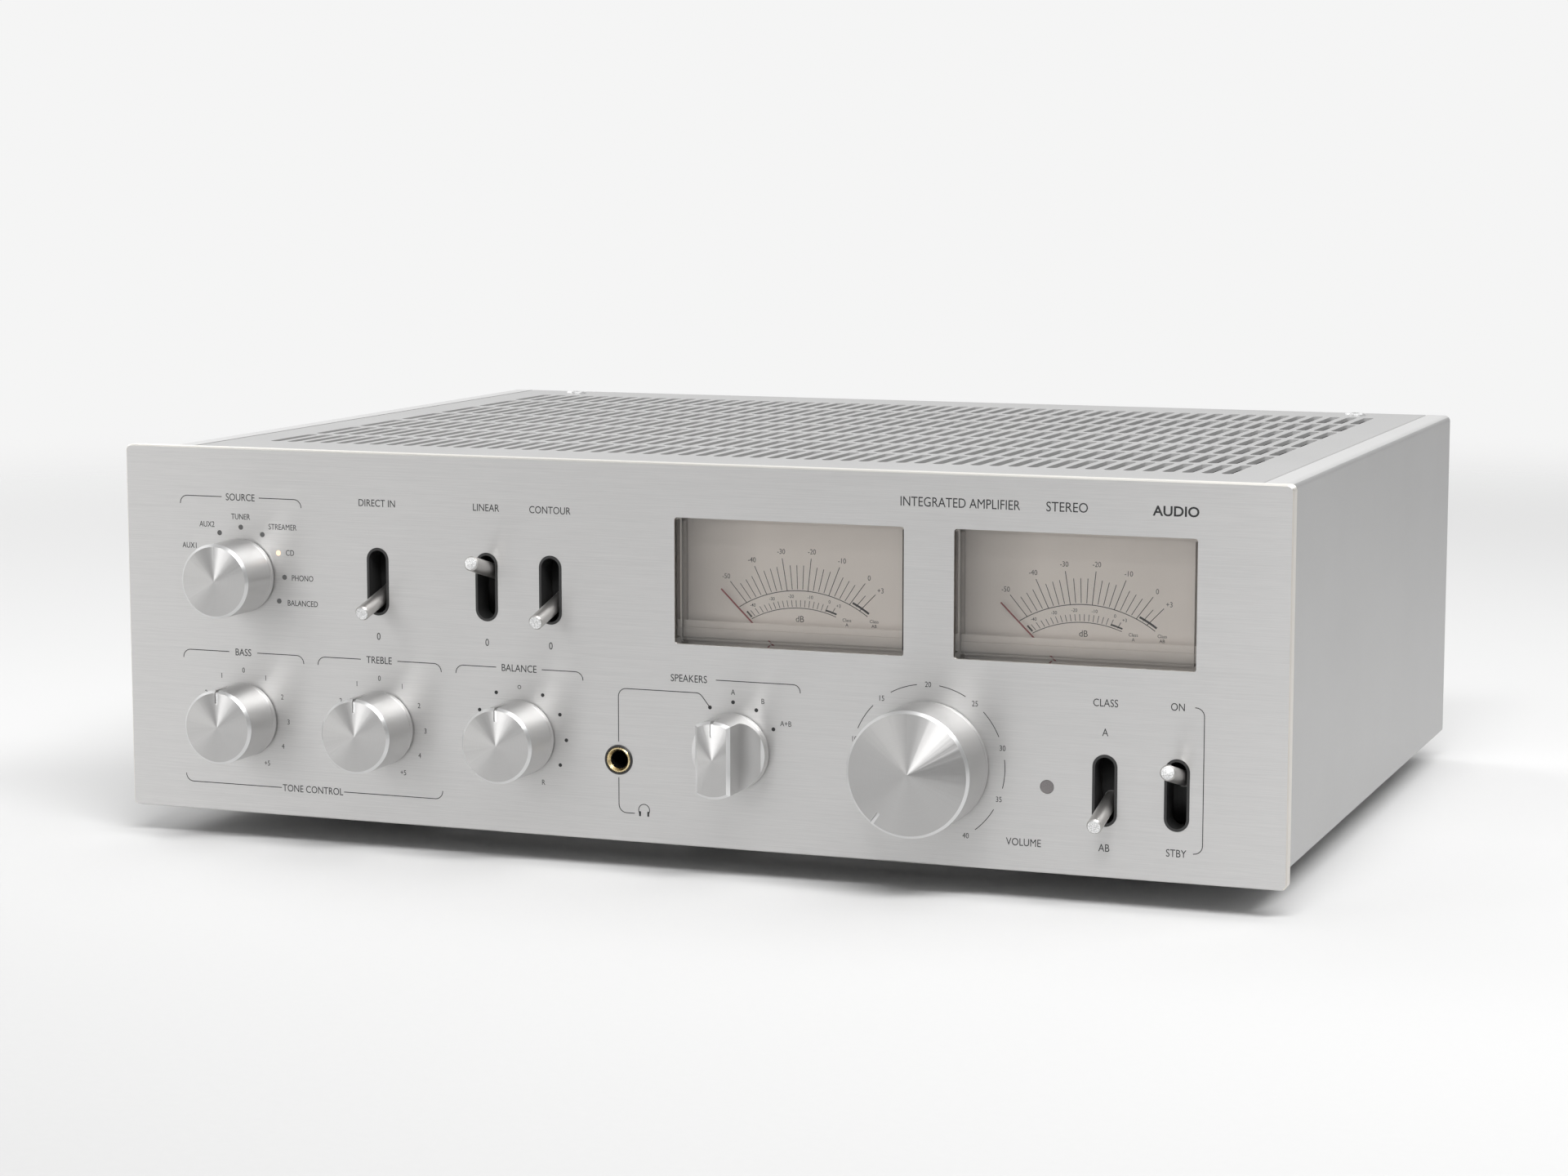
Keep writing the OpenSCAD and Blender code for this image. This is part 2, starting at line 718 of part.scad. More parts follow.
// One moulding holds the three-pin inlet, the fuse drawer and the frame of the mains rocker.
module mains_inlet() {
    color("#1f1f1f") at_rear(inlet_spot) difference() {
        union() {
            linear_extrude(2) rounded_rect([32, 62], 2);
            translate([0, 0, -14]) cube([26.8, 56, 28], center = true);
        }
        difference() {
            translate([0, -inlet_z, -15]) linear_extrude(20) rounded_rect([24.6, 16.4], 2);
            for (p = [[-7, -1, 0], [7, -1, 0], [0, 3, 0]]) translate(p - [0, inlet_z, 10]) cube([2, 4, 16], center = true);
        }
        for (s = [-1, 1]) translate([s * 11.4, -1.5, 1.4]) cube([0.6, 7, 2], center = true);
        translate([0, -5.2, 1.4]) cube([23.4, 0.6, 2], center = true);
        translate([0, 2.2, 1.4]) cube([23.4, 0.6, 2], center = true);
        translate([0, -rocker_z, -11]) linear_extrude(20) square([20, 14.6], center = true);
        translate([0, -rocker_z, -rocker_in]) rotate([0, 90, 0]) cylinder(r = 1.25, h = 21.2, center = true);
    }
}

module mains_rocker() {
    color("#303030") translate([inlet_spot.x, y_face + rear_y - rocker_in, z_panel + inlet_spot.y + rocker_z])
        rotate([rocker_tilt, 0, 0]) {
            along_x(19.4) polygon([[-4.5, -2], [-2.5, -5.6], [4.6, -6.3], [3, 0], [4.6, 6.3], [-2.5, 5.6], [-4.5, 2]]);
            rotate([0, 90, 0]) cylinder(r = 1.2, h = 21, center = true);
        }
}

// ---- Inside ----

module transformers() {
    ring = toroid_r - toroid_hole;
    color("#b08a3c") for (sx = [-1, 1]) inside(sx * toroid_x, toroid_depth, toroid_base + toroid_h / 2)
        rotate_extrude() translate([toroid_hole + ring / 2, 0]) rounded_rect([ring, toroid_h], 9);
}

module transformer_clamps() {
    top = toroid_base + toroid_h;
    color("#9a9c9e") for (sx = [-1, 1]) inside(sx * toroid_x, toroid_depth, 0) {
        difference() {
            translate([0, 0, top]) cylinder(r = 34, h = 2);
            translate([0, 0, top - 1]) cylinder(r = 4.1, h = 5);
        }
        difference() {
            translate([0, 0, floor_top]) cylinder(r = 46, h = 2);
            translate([0, 0, floor_top - 1]) cylinder(r = 4.1, h = 5);
        }
        cylinder(r = 4, h = top + 2);
        translate([0, 0, top + 2]) cylinder(r = 7, h = 5, $fn = 6);
        translate([0, 0, floor_z - 4]) cylinder(r = 7, h = 4, $fn = 6);
    }
}

module filter_capacitors() {
    base = board_z + board_t;
    color("#23303c") for (x = [-78, -42, 42, 78], d = [216, 258]) inside(x, d, base) rotate_extrude()
        polygon([[0, 0], [16.9, 0], [17.4, 0.5], [17.4, 3], [17, 3.6], [17.4, 4.2], [17.4, 47.2],
                 [16.6, 48], [14.8, 48], [14.8, 47.4], [0, 47.4]]);
}

// An extruded heatsink: a thick back and upright fins that face the side panel.
module heatsink_profile() {
    fins = 20;
    pitch = (sink_back - sink_front - 3) / (fins - 1);
    translate([sink_x, sink_front]) square([sink_base, sink_back - sink_front]);
    for (i = [0:fins - 1]) translate([sink_x + sink_base, sink_front + i * pitch]) square([sink_fin, 3]);
}

module heatsinks() {
    color("#2d2d2f") for (side = [0, 1])
        translate([0, y_face, z_panel + floor_top]) mirror([side, 0, 0]) linear_extrude(sink_h) heatsink_profile();
}

module output_transistors() {
    color("#1a1a1c") for (sx = [-1, 1], d = [92, 134, 176, 218]) inside(sx * (sink_x - 2.5), d, 0) {
        difference() {
            translate([0, 0, 36]) cube([5, 16, 20], center = true);
            translate([0, 0, 42]) rotate([0, 90, 0]) cylinder(r = 1.6, h = 10, center = true);
        }
        for (y = [-5, 0, 5]) translate([0, y, (26 + board_z + board_t) / 2])
            cube([0.8, 1.2, 26 - board_z - board_t], center = true);
    }
}

// One power amplifier board beside each heatsink and one supply board under the capacitors.
module power_boards() {
    amp_w = amp_board_x[1] - amp_board_x[0];
    color("#2f5a3c") {
        for (sx = [-1, 1]) {
            inside(sx * (amp_board_x[0] + amp_w / 2), 158, 0) {
                translate([0, 0, board_z + board_t / 2]) cube([amp_w, 172, board_t], center = true);
                for (x = [-1, 1], y = [-1, 1]) translate([x * (amp_w / 2 - 5), y * 80, floor_top])
                    cylinder(r = 2.5, h = board_z - floor_top);
                for (i = [0:4]) translate([-sx * 14, -60 + i * 30, board_z + board_t]) cylinder(r = 5, h = 14);
                for (i = [0:7]) translate([sx * 6, -63 + i * 18, board_z + board_t + 3]) cube([7, 12, 6], center = true);
            }
        }
        inside(0, supply_depth, 0) {
            translate([0, 0, board_z + board_t / 2]) cube([supply_size.x, supply_size.y, board_t], center = true);
            for (x = [-1, 1], y = [-1, 1]) translate([x * (supply_size.x / 2 - 5), y * (supply_size.y / 2 - 5), floor_top])
                cylinder(r = 2.5, h = board_z - floor_top);
            for (y = [-22, 22]) translate([0, y, board_z + board_t + 6]) cube([28, 28, 12], center = true);
        }
    }
}

// The input board behind the sockets, with its selector relays.
module preamp_board() {
    w = preamp_x[1] - preamp_x[0];
    len = preamp_depths[1] - preamp_depths[0];
    color("#2f5a3c") inside((preamp_x[0] + preamp_x[1]) / 2, (preamp_depths[0] + preamp_depths[1]) / 2, 0) {
        translate([0, 0, preamp_z + board_t / 2]) cube([w, len, board_t], center = true);
        for (x = [-1, 1], y = [-1, 1]) translate([x * (w / 2 - 4), y * (len / 2 - 4), floor_top])
            cylinder(r = 2.5, h = preamp_z - floor_top);
        for (i = [0:5]) translate([-46 + i * 18.5, 14, preamp_z + board_t + 3]) cube([8, 15, 6], center = true);
        for (i = [0:6]) translate([-45 + i * 15, -18, preamp_z + board_t]) cylinder(r = 4, h = 9);
    }
}

// A point on the smooth curve through four neighbouring points.
function blend(a, b, c, d, t) =
    0.5 * (2 * b + (c - a) * t + (2 * a - 5 * b + 4 * c - d) * t * t + (3 * b - a - 3 * c + d) * t * t * t);
function smooth(p, steps) = [
    for (i = [0:len(p) - 2], s = [0:steps - 1])
        blend(p[max(i - 1, 0)], p[i], p[i + 1], p[min(i + 2, len(p) - 1)], s / steps),
    p[len(p) - 1]
];
function unit(v) = v / norm(v);

// A round lead swept along a smooth path that never runs straight up.
module lead(points, r) {
    sides = 8;
    path = smooth(points, 6);
    last = len(path) - 1;
    ring = [for (i = [0:last])
        let (t = unit(path[min(i + 1, last)] - path[max(i - 1, 0)]), u = unit(cross(t, [0, 0, 1])), v = cross(u, t))
            for (k = [0:sides - 1]) path[i] + r * (cos(k * 360 / sides) * u + sin(k * 360 / sides) * v)];
    walls = [for (i = [0:last - 1], k = [0:sides - 1])
        let (n = (k + 1) % sides) [i * sides + k, (i + 1) * sides + k, (i + 1) * sides + n, i * sides + n]];
    front_cap = [for (k = [0:sides - 1]) k];
    back_cap = [for (k = [sides - 1:-1:0]) last * sides + k];
    polyhedron(concat(ring), concat(walls, [front_cap], [back_cap]), convexity = 10);
}

// The looms: panel to preamplifier, mains to the standby lever, and each amplifier to its posts.
module wiring_looms() {
    color("#5a3030") inside(0, 0, 0) {
        lead([[-130, 47, 80], [-130, 56, 80], [-146, 110, 84], [-146, 200, 86], [-150, 240, 82], [-150, 252, 80]], 3);
        lead([[172, 47, 34], [172, 56, 34], [148, 90, 40], [146, 200, 44], [158, 270, 46], [180, 298, 46], [180, 306, 46]], 3);
        lead([[-128, 245, 20], [-128, 255, 22], [-118, 280, 36], [-70, 304, 52], [-48, 316, 54]], 2.5);
        lead([[128, 245, 20], [128, 255, 22], [120, 280, 36], [96, 304, 52], [80, 316, 54]], 2.5);
    }
}

front_panel();
front_subframe();
top_cover();
side_panel(-1);  // side_panel_left
side_panel(1);  // side_panel_right
base_plate();
rear_panel();
feet();
foot_pads();
case_screws();
small_knob(source_spot, false);  // source_knob
small_knob(bass_spot, true);  // bass_knob
small_knob(treble_spot, true);  // treble_knob
small_knob(balance_spot, true);  // balance_knob
speaker_knob();
volume_knob();
source_encoder();
tone_potentiometers();
speaker_selector();
volume_potentiometer();
lever(direct_spot, lever_tilt);  // direct_lever
lever(linear_spot, -lever_tilt);  // linear_lever
lever(contour_spot, lever_tilt);  // contour_lever
lever(class_spot, lever_tilt);  // class_lever
lever(power_spot, -lever_tilt);  // power_lever
lever_bezels();
toggle_switches();
control_boards();
headphone_jack();
jack_collar();
remote_receiver();
source_lights();
meter_housings();
meter_dials();
meter_covers();
meter_movements();
meter_needle(window_spots[0]);  // meter_needle_left
meter_needle(window_spots[1]);  // meter_needle_right
rca_sockets();
xlr_sockets();
speaker_posts();
for (i = [0:7]) speaker_cap(i);
ground_screw();
mains_inlet();
mains_rocker();
transformers();
transformer_clamps();
filter_capacitors();
heatsinks();
output_transistors();
power_boards();
preamp_board();
wiring_looms();
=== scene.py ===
"""Looks of a stereo amplifier: materials, printed legends, meter scales, light and camera.

Panel coordinates are in millimetres on the front panel's face: x to the right of its middle and z up
from its lower edge. Objects are built in metres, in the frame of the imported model.
"""
import json
import math

import bmesh
import bpy
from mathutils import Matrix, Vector

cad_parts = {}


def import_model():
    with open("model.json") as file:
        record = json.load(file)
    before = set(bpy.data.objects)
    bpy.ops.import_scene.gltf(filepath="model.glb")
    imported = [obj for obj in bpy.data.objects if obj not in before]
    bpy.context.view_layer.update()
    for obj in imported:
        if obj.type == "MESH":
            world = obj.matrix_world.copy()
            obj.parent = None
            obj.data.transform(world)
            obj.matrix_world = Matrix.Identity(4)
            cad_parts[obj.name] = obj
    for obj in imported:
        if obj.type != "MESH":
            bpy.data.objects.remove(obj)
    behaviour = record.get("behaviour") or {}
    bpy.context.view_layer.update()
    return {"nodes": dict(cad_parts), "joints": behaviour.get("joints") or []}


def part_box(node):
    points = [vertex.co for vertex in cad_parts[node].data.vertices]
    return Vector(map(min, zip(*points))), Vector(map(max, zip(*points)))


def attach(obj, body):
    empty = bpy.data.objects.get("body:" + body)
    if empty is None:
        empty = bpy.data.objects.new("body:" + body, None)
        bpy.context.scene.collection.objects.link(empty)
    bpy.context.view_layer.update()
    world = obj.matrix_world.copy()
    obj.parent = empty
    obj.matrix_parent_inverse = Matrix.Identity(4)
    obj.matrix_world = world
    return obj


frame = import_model()

MM = 0.001
SUNK_MM = 0.005  # how far a print reaches into the surface it lies on
BODY = "chassis"
PANEL_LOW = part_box("front_panel")[0]
FACE_Y = PANEL_LOW.y
FOOT_Z = PANEL_LOW.z
REAR_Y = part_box("rear_panel")[1].y


def middle(node):
    """Panel coordinates of a node's middle."""
    low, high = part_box(node)
    return ((low.x + high.x) / 2 / MM, ((low.z + high.z) / 2 - FOOT_Z) / MM)


def clock(centre, radius, angle):
    """The panel point at an angle, clockwise from straight up, round a centre."""
    a = math.radians(angle)
    return (centre[0] + radius * math.sin(a), centre[1] + radius * math.cos(a))


# ---- Shader helpers ----

class Shader:
    """A node material with a Principled surface, and short calls that add and link nodes."""

    def __init__(self, name):
        self.material = bpy.data.materials.new(name)
        self.material.use_nodes = True
        self.tree = self.material.node_tree
        self.surface = self.tree.nodes["Principled BSDF"]
        self.output = self.tree.nodes["Material Output"]
        self.coords = self.add("ShaderNodeTexCoord")

    def add(self, kind, values=None, **settings):
        """Adds a node; settings are its properties and values fill its sockets, plain or linked."""
        node = self.tree.nodes.new(kind)
        for key, value in settings.items():
            setattr(node, key, value)
        for key, value in (values or {}).items():
            self.put(node.inputs[key], value)
        return node

    def put(self, socket, value):
        """Fills a socket with a plain value or a link."""
        if isinstance(value, bpy.types.NodeSocket):
            self.tree.links.new(value, socket)
        else:
            socket.default_value = value

    def set(self, **values):
        """Sets sockets of the surface; an underscore in a name stands for a space."""
        for key, value in values.items():
            self.put(self.surface.inputs[key.replace("_", " ")], value)

    def math(self, operation, a, b=0.0, c=0.0):
        return self.add("ShaderNodeMath", {0: a, 1: b, 2: c}, operation=operation).outputs[0]

    def vector(self, operation, a, b=(0, 0, 0)):
        node = self.add("ShaderNodeVectorMath", {0: a, 1: b}, operation=operation)
        return node.outputs["Value" if operation in ("LENGTH", "DOT_PRODUCT") else "Vector"]

    def scaled(self, vector, factor):
        node = self.add("ShaderNodeVectorMath", {0: vector, "Scale": factor}, operation="SCALE")
        return node.outputs["Vector"]

    def split(self, vector):
        """The X, Y and Z of a vector."""
        return self.add("ShaderNodeSeparateXYZ", {0: vector}).outputs

    def stretch(self, scale):
        """Object coordinates multiplied along each axis."""
        return self.vector("MULTIPLY", self.coords.outputs["Object"], scale)

    def off_axis(self, spot):
        """The distance from the front-to-back line through a point."""
        offset = self.vector("SUBTRACT", self.coords.outputs["Object"], spot)
        return self.vector("LENGTH", self.vector("MULTIPLY", offset, (1, 0, 1)))

    def noise(self, vector, scale=1.0, detail=3.0, rough=0.5):
        node = self.add("ShaderNodeTexNoise",
                        {"Vector": vector, "Scale": scale, "Detail": detail, "Roughness": rough})
        return node.outputs["Fac"]

    def noise_along(self, value, detail, rough=0.5):
        """Noise that changes along one value only."""
        node = self.add("ShaderNodeTexNoise", {"W": value, "Detail": detail, "Roughness": rough},
                        noise_dimensions="1D")
        return node.outputs["Fac"]

    def span(self, value, low, high, to_low=0.0, to_high=1.0):
        """Maps a value from one range to another, and holds it there."""
        node = self.add("ShaderNodeMapRange", {0: value, 1: low, 2: high, 3: to_low, 4: to_high})
        return node.outputs[0]

    def tint(self, value, dark, light):
        """A colour between two, by a value from 0 to 1."""
        node = self.add("ShaderNodeMix", data_type="RGBA")
        self.put(node.inputs["Factor"], value)
        self.put(node.inputs[6], dark if isinstance(dark, bpy.types.NodeSocket) else (*dark, 1.0))
        self.put(node.inputs[7], light if isinstance(light, bpy.types.NodeSocket) else (*light, 1.0))
        return node.outputs[2]

    def bump(self, height, strength, distance_mm):
        node = self.add("ShaderNodeBump",
                        {"Height": height, "Strength": strength, "Distance": distance_mm * MM})
        return node.outputs["Normal"]


def grey(value, warmth=0.0):
    """A grey, leaning to red by its warmth."""
    return (value * (1 + warmth), value, value * (1 - warmth))


# ---- Materials ----

# Reflectance of each finish, from 0 to 1. The cover's slot walls, the side panels' upright faces and the
# volume knob are painted darker than the same metal elsewhere, as painted shade, and the side panels' top
# flanges are painted lighter, as painted light.
PANEL_LEVEL = 0.66
SHADED_SLOT_LEVEL, COVER_LEVEL = 0.38, 0.45
SHADED_SIDE_LEVEL, LIT_FLANGE_LEVEL = 0.47, 0.62
KNOB_LEVEL, SHADED_VOLUME_LEVEL = 0.55, 0.495
# How far a turned face's normals lean outwards, and how far the tool's streaks turn them
FACE_LEAN, STREAK_SWAY = 0.33, 0.22
# Toggle levers: radius and depth of the pivot behind the panel's face, height of the pivot, and tilt
LEVER_R, PIVOT_DEPTH = 2.75, 27.0
UPPER_PIVOT_Z, LOWER_PIVOT_Z = 91.0, 30.6
TILT = 14.3
LEVERS = {"direct_lever": (UPPER_PIVOT_Z, TILT), "linear_lever": (UPPER_PIVOT_Z, -TILT),
          "contour_lever": (UPPER_PIVOT_Z, TILT), "class_lever": (LOWER_PIVOT_Z, TILT),
          "power_lever": (LOWER_PIVOT_Z, -TILT)}
# Heights between which a dial's painted shade fades out above its trim, and how far its painted shade
# reaches in from the left
DIAL_FOOT, DIAL_CLEAR, DIAL_SHADE = 74.5, 82.5, 28.0


def brushed_panel():
    """Clear anodised aluminium, brushed from side to side. Its top face carries a painted highlight in a
    near-white colour, and its end faces are paler.
    """
    s = Shader("brushed_panel")
    long_grain = s.noise(s.stretch((22, 900, 2300)), detail=4.0, rough=0.7)
    fine_grain = s.noise(s.stretch((90, 2500, 6500)), detail=3.0, rough=0.6)
    cloud = s.noise(s.stretch((7, 7, 11)), detail=2.0)
    grain = s.math("ADD", s.math("MULTIPLY", long_grain, 0.5), s.math("MULTIPLY", fine_grain, 0.5))
    colour = s.tint(s.span(grain, 0.34, 0.66),
                    grey(PANEL_LEVEL * 0.92, 0.006), grey(PANEL_LEVEL * 1.06, 0.009))
    toned = s.tint(s.math("MULTIPLY", s.span(cloud, 0.3, 0.7), 0.15),
                   colour, grey(PANEL_LEVEL * 1.08, 0.008))
    facing = s.split(s.coords.outputs["Normal"])
    top = s.math("GREATER_THAN", facing["Z"], 0.3)
    end = s.math("GREATER_THAN", s.math("ABSOLUTE", facing["X"]), 0.3)
    edge = s.math("MAXIMUM", top, end)
    # Painted highlight: the top face gets a near-white colour, and the end faces get a paler warm grey.
    finish = s.tint(top, s.tint(end, toned, (0.80, 0.765, 0.715)), (0.97, 0.945, 0.90))
    across_grain = s.add("ShaderNodeCombineXYZ", {"Y": top, "Z": s.math("SUBTRACT", 1.0, top)}).outputs[0]
    strength = s.math("MULTIPLY", s.math("SUBTRACT", 1.0, edge), 0.2)
    s.set(Base_Color=finish, Metallic=1.0, Roughness=s.span(grain, 0.3, 0.7, 0.39, 0.47),
          Anisotropic=0.8, Tangent=across_grain, Normal=s.bump(grain, strength, 0.04))
    return s.material


def satin_case(name, level, top_level, wall_metal):
    """Bead-blasted, clear anodised sheet. Its upright faces and cut walls get another level than its top:
    painted shade on the cover's slot walls and the side panels' upright faces, painted light on the side
    panels' top flanges.
    """
    s = Shader(name)
    grain = s.noise(s.coords.outputs["Object"], scale=4200.0, detail=2.0)
    cloud = s.noise(s.coords.outputs["Object"], scale=16.0, detail=3.0)
    upward_painted_tone = s.math("GREATER_THAN", s.split(s.coords.outputs["Normal"])["Z"], 0.7)
    # Painted light and shade: upward faces and all other faces get different levels of the same metal.
    facing_painted_tone = s.tint(upward_painted_tone, grey(level, 0.004), grey(top_level, 0.004))
    base = s.tint(s.math("MULTIPLY", s.span(cloud, 0.3, 0.7), 0.08), facing_painted_tone, grey(0.9))
    s.set(Base_Color=s.tint(s.math("MULTIPLY", s.span(grain, 0.35, 0.65), 0.12), base, grey(0.85)),
          Metallic=s.span(upward_painted_tone, 0.0, 1.0, wall_metal, 0.6), Roughness=s.span(cloud, 0.2, 0.8, 0.44, 0.5),
          Normal=s.bump(grain, 0.12, 0.03))
    return s.material


def turned_metal(name, level, rings, front_y, twist):
    """Turned aluminium: grooves run round the axis on the face and on the side.

    The grooves on the face are cut a little deeper on their inner flank, so the face's normals lean
    outwards, and the tool leaves faint differences that run out from the middle. The chamfer and the
    pointer's slot are brighter.
    """
    s = Shader(name)
    centred = s.vector("SUBTRACT", s.coords.outputs["Generated"], (0.5, 0.0, 0.5))
    flat = s.vector("MULTIPLY", centred, (1.0, 0.0, 1.0))
    parts = s.split(centred)
    along = s.math("ADD", s.vector("LENGTH", flat), s.math("MULTIPLY", parts["Y"], 1.3))
    groove = s.noise_along(s.math("MULTIPLY", along, rings), 3.0, 0.65)
    angle = s.math("ARCTAN2", parts["X"], parts["Z"])
    streak = s.noise_along(s.math("MULTIPLY", angle, 2.6), 4.0, 0.6)
    normal = s.coords.outputs["Normal"]
    facing = s.split(normal)["Y"]
    on_face = s.math("GREATER_THAN", s.math("ABSOLUTE", facing), 0.97)
    outward = s.vector("NORMALIZE", flat)
    around = s.vector("CROSS_PRODUCT", outward, (0.0, 1.0, 0.0))
    lean = s.scaled(outward, s.math("MULTIPLY", on_face, FACE_LEAN))
    uneven = s.math("ADD", s.math("MULTIPLY", streak, STREAK_SWAY), twist - STREAK_SWAY / 2)
    sway = s.scaled(around, s.math("MULTIPLY", uneven, on_face))
    bent = s.vector("ADD", s.vector("ADD", normal, lean), sway)
    turned = s.add("ShaderNodeVectorTransform", {0: bent}, vector_type="NORMAL",
                   convert_from="OBJECT", convert_to="WORLD").outputs[0]
    bump = s.add("ShaderNodeBump", {"Height": groove, "Strength": 0.1, "Distance": 0.02 * MM,
                                    "Normal": s.vector("NORMALIZE", turned)}).outputs["Normal"]
    satin = s.tint(s.span(groove, 0.3, 0.7), grey(level * 0.94, 0.006), grey(level * 1.04, 0.01))
    depth = s.split(s.coords.outputs["Object"])["Y"]
    chamfer = s.math("MULTIPLY", s.math("COMPARE", s.math("ABSOLUTE", facing), 0.7, 0.22),
                     s.math("LESS_THAN", depth, front_y + 1.3 * MM))
    slot = s.math("MULTIPLY", on_face, s.math("GREATER_THAN", depth, front_y + 0.3 * MM))
    colour = s.tint(s.math("MAXIMUM", chamfer, slot), satin, grey(0.74))
    tangent = s.add("ShaderNodeTangent", direction_type="RADIAL", axis="Y").outputs[0]
    s.set(Base_Color=colour, Metallic=1.0, Roughness=s.span(groove, 0.25, 0.75, 0.42, 0.48),
          Anisotropic=0.74, Anisotropic_Rotation=0.25, Tangent=tangent, Normal=bump)
    return s.material


def bright_metal(name, level):
    """Bright machined steel."""
    s = Shader(name)
    grain = s.noise(s.coords.outputs["Object"], scale=2500.0, detail=2.0)
    s.set(Base_Color=s.tint(grain, grey(level * 0.95), grey(level * 1.04)), Metallic=1.0,
          Roughness=s.span(grain, 0.3, 0.7, 0.2, 0.28), Normal=s.bump(grain, 0.08, 0.02))
    return s.material


def lever_metal(node):
    """A turned lever with a stippled end. Its black shutter is told apart by its distance from the axis."""
    s = Shader("finish_" + node)
    pivot_z, tilt = LEVERS[node]
    tilt = math.radians(tilt)
    axis = (0.0, -math.cos(tilt), -math.sin(tilt))
    pivot = (middle(node)[0] * MM, FACE_Y + PIVOT_DEPTH * MM, pivot_z * MM + FOOT_Z)
    arm = s.vector("SUBTRACT", s.coords.outputs["Object"], pivot)
    reach = s.vector("DOT_PRODUCT", arm, axis)
    from_axis = s.vector("LENGTH", s.vector("SUBTRACT", arm, s.scaled(axis, reach)))
    is_shutter = s.math("GREATER_THAN", from_axis, LEVER_R * 1.03 * MM)
    facing = s.vector("DOT_PRODUCT", s.coords.outputs["Normal"], axis)
    is_end = s.math("GREATER_THAN", facing, 0.8)
    stipple = s.noise(s.coords.outputs["Object"], scale=2600.0, detail=3.0, rough=0.7)
    turning = s.noise_along(s.math("MULTIPLY", reach, 5200.0), 2.0)
    metal = s.tint(s.span(turning, 0.3, 0.7), grey(0.42, 0.025), grey(0.50, 0.025))
    end = s.tint(s.span(stipple, 0.38, 0.62), grey(0.5), grey(0.98))
    colour = s.tint(is_shutter, s.tint(is_end, metal, end), grey(0.012))
    height = s.math("ADD", s.math("MULTIPLY", stipple, is_end), s.math("MULTIPLY", turning, 0.12))
    s.set(Base_Color=colour, Metallic=s.math("SUBTRACT", 1.0, is_shutter),
          Roughness=s.math("ADD", s.span(stipple, 0.3, 0.7, 0.4, 0.5),
                           s.math("MULTIPLY", is_shutter, 0.1)),
          Normal=s.bump(height, 0.5, 0.08))
    return s.material


def moulded(name, colour, rough=0.45, grain_mm=0.25, strength=0.15, coat=0.0):
    """Moulded plastic or paint with a fine texture."""
    s = Shader(name)
    grain = s.noise(s.coords.outputs["Object"], scale=1.0 / (grain_mm * MM), detail=3.0)
    cloud = s.noise(s.coords.outputs["Object"], scale=60.0, detail=2.0)
    dark = tuple(c * 0.86 for c in colour)
    light = tuple(min(1.0, c * 1.12) for c in colour)
    s.set(Base_Color=s.tint(s.span(cloud, 0.25, 0.75), dark, light), Metallic=0.0,
          Roughness=s.span(grain, 0.3, 0.7, rough - 0.05, rough + 0.06), Coat_Weight=coat,
          Normal=s.bump(grain, strength, 0.06))
    return s.material


def plated_sheet(name, level=0.5):
    """Zinc-plated steel with a faint spangle."""
    s = Shader(name)
    spangle = s.add("ShaderNodeTexVoronoi", {"Vector": s.coords.outputs["Object"], "Scale": 160.0})
    shade = s.span(spangle.outputs["Distance"], 0.0, 0.7)
    s.set(Base_Color=s.tint(shade, grey(level * 0.92), grey(level * 1.06)), Metallic=1.0,
          Roughness=s.span(shade, 0.0, 1.0, 0.36, 0.46))
    return s.material


def gold(name, centre=None, bore_mm=0.0):
    """Gold plate. Inside bore_mm of a centre it is black, as the insulated inside of a socket is."""
    s = Shader(name)
    grain = s.noise(s.coords.outputs["Object"], scale=1800.0, detail=2.0)
    colour = s.tint(s.span(grain, 0.3, 0.7), (0.78, 0.62, 0.33), (0.88, 0.74, 0.46))
    metallic = 1.0
    if centre:
        spot = (centre[0] * MM, 0.0, centre[1] * MM + FOOT_Z)
        inside = s.math("LESS_THAN", s.off_axis(spot), bore_mm * MM)
        colour = s.tint(inside, colour, grey(0.006))
        metallic = s.math("SUBTRACT", 1.0, inside)
    s.set(Base_Color=colour, Metallic=metallic, Roughness=s.span(grain, 0.3, 0.7, 0.22, 0.3),
          Normal=s.bump(grain, 0.06, 0.02))
    return s.material


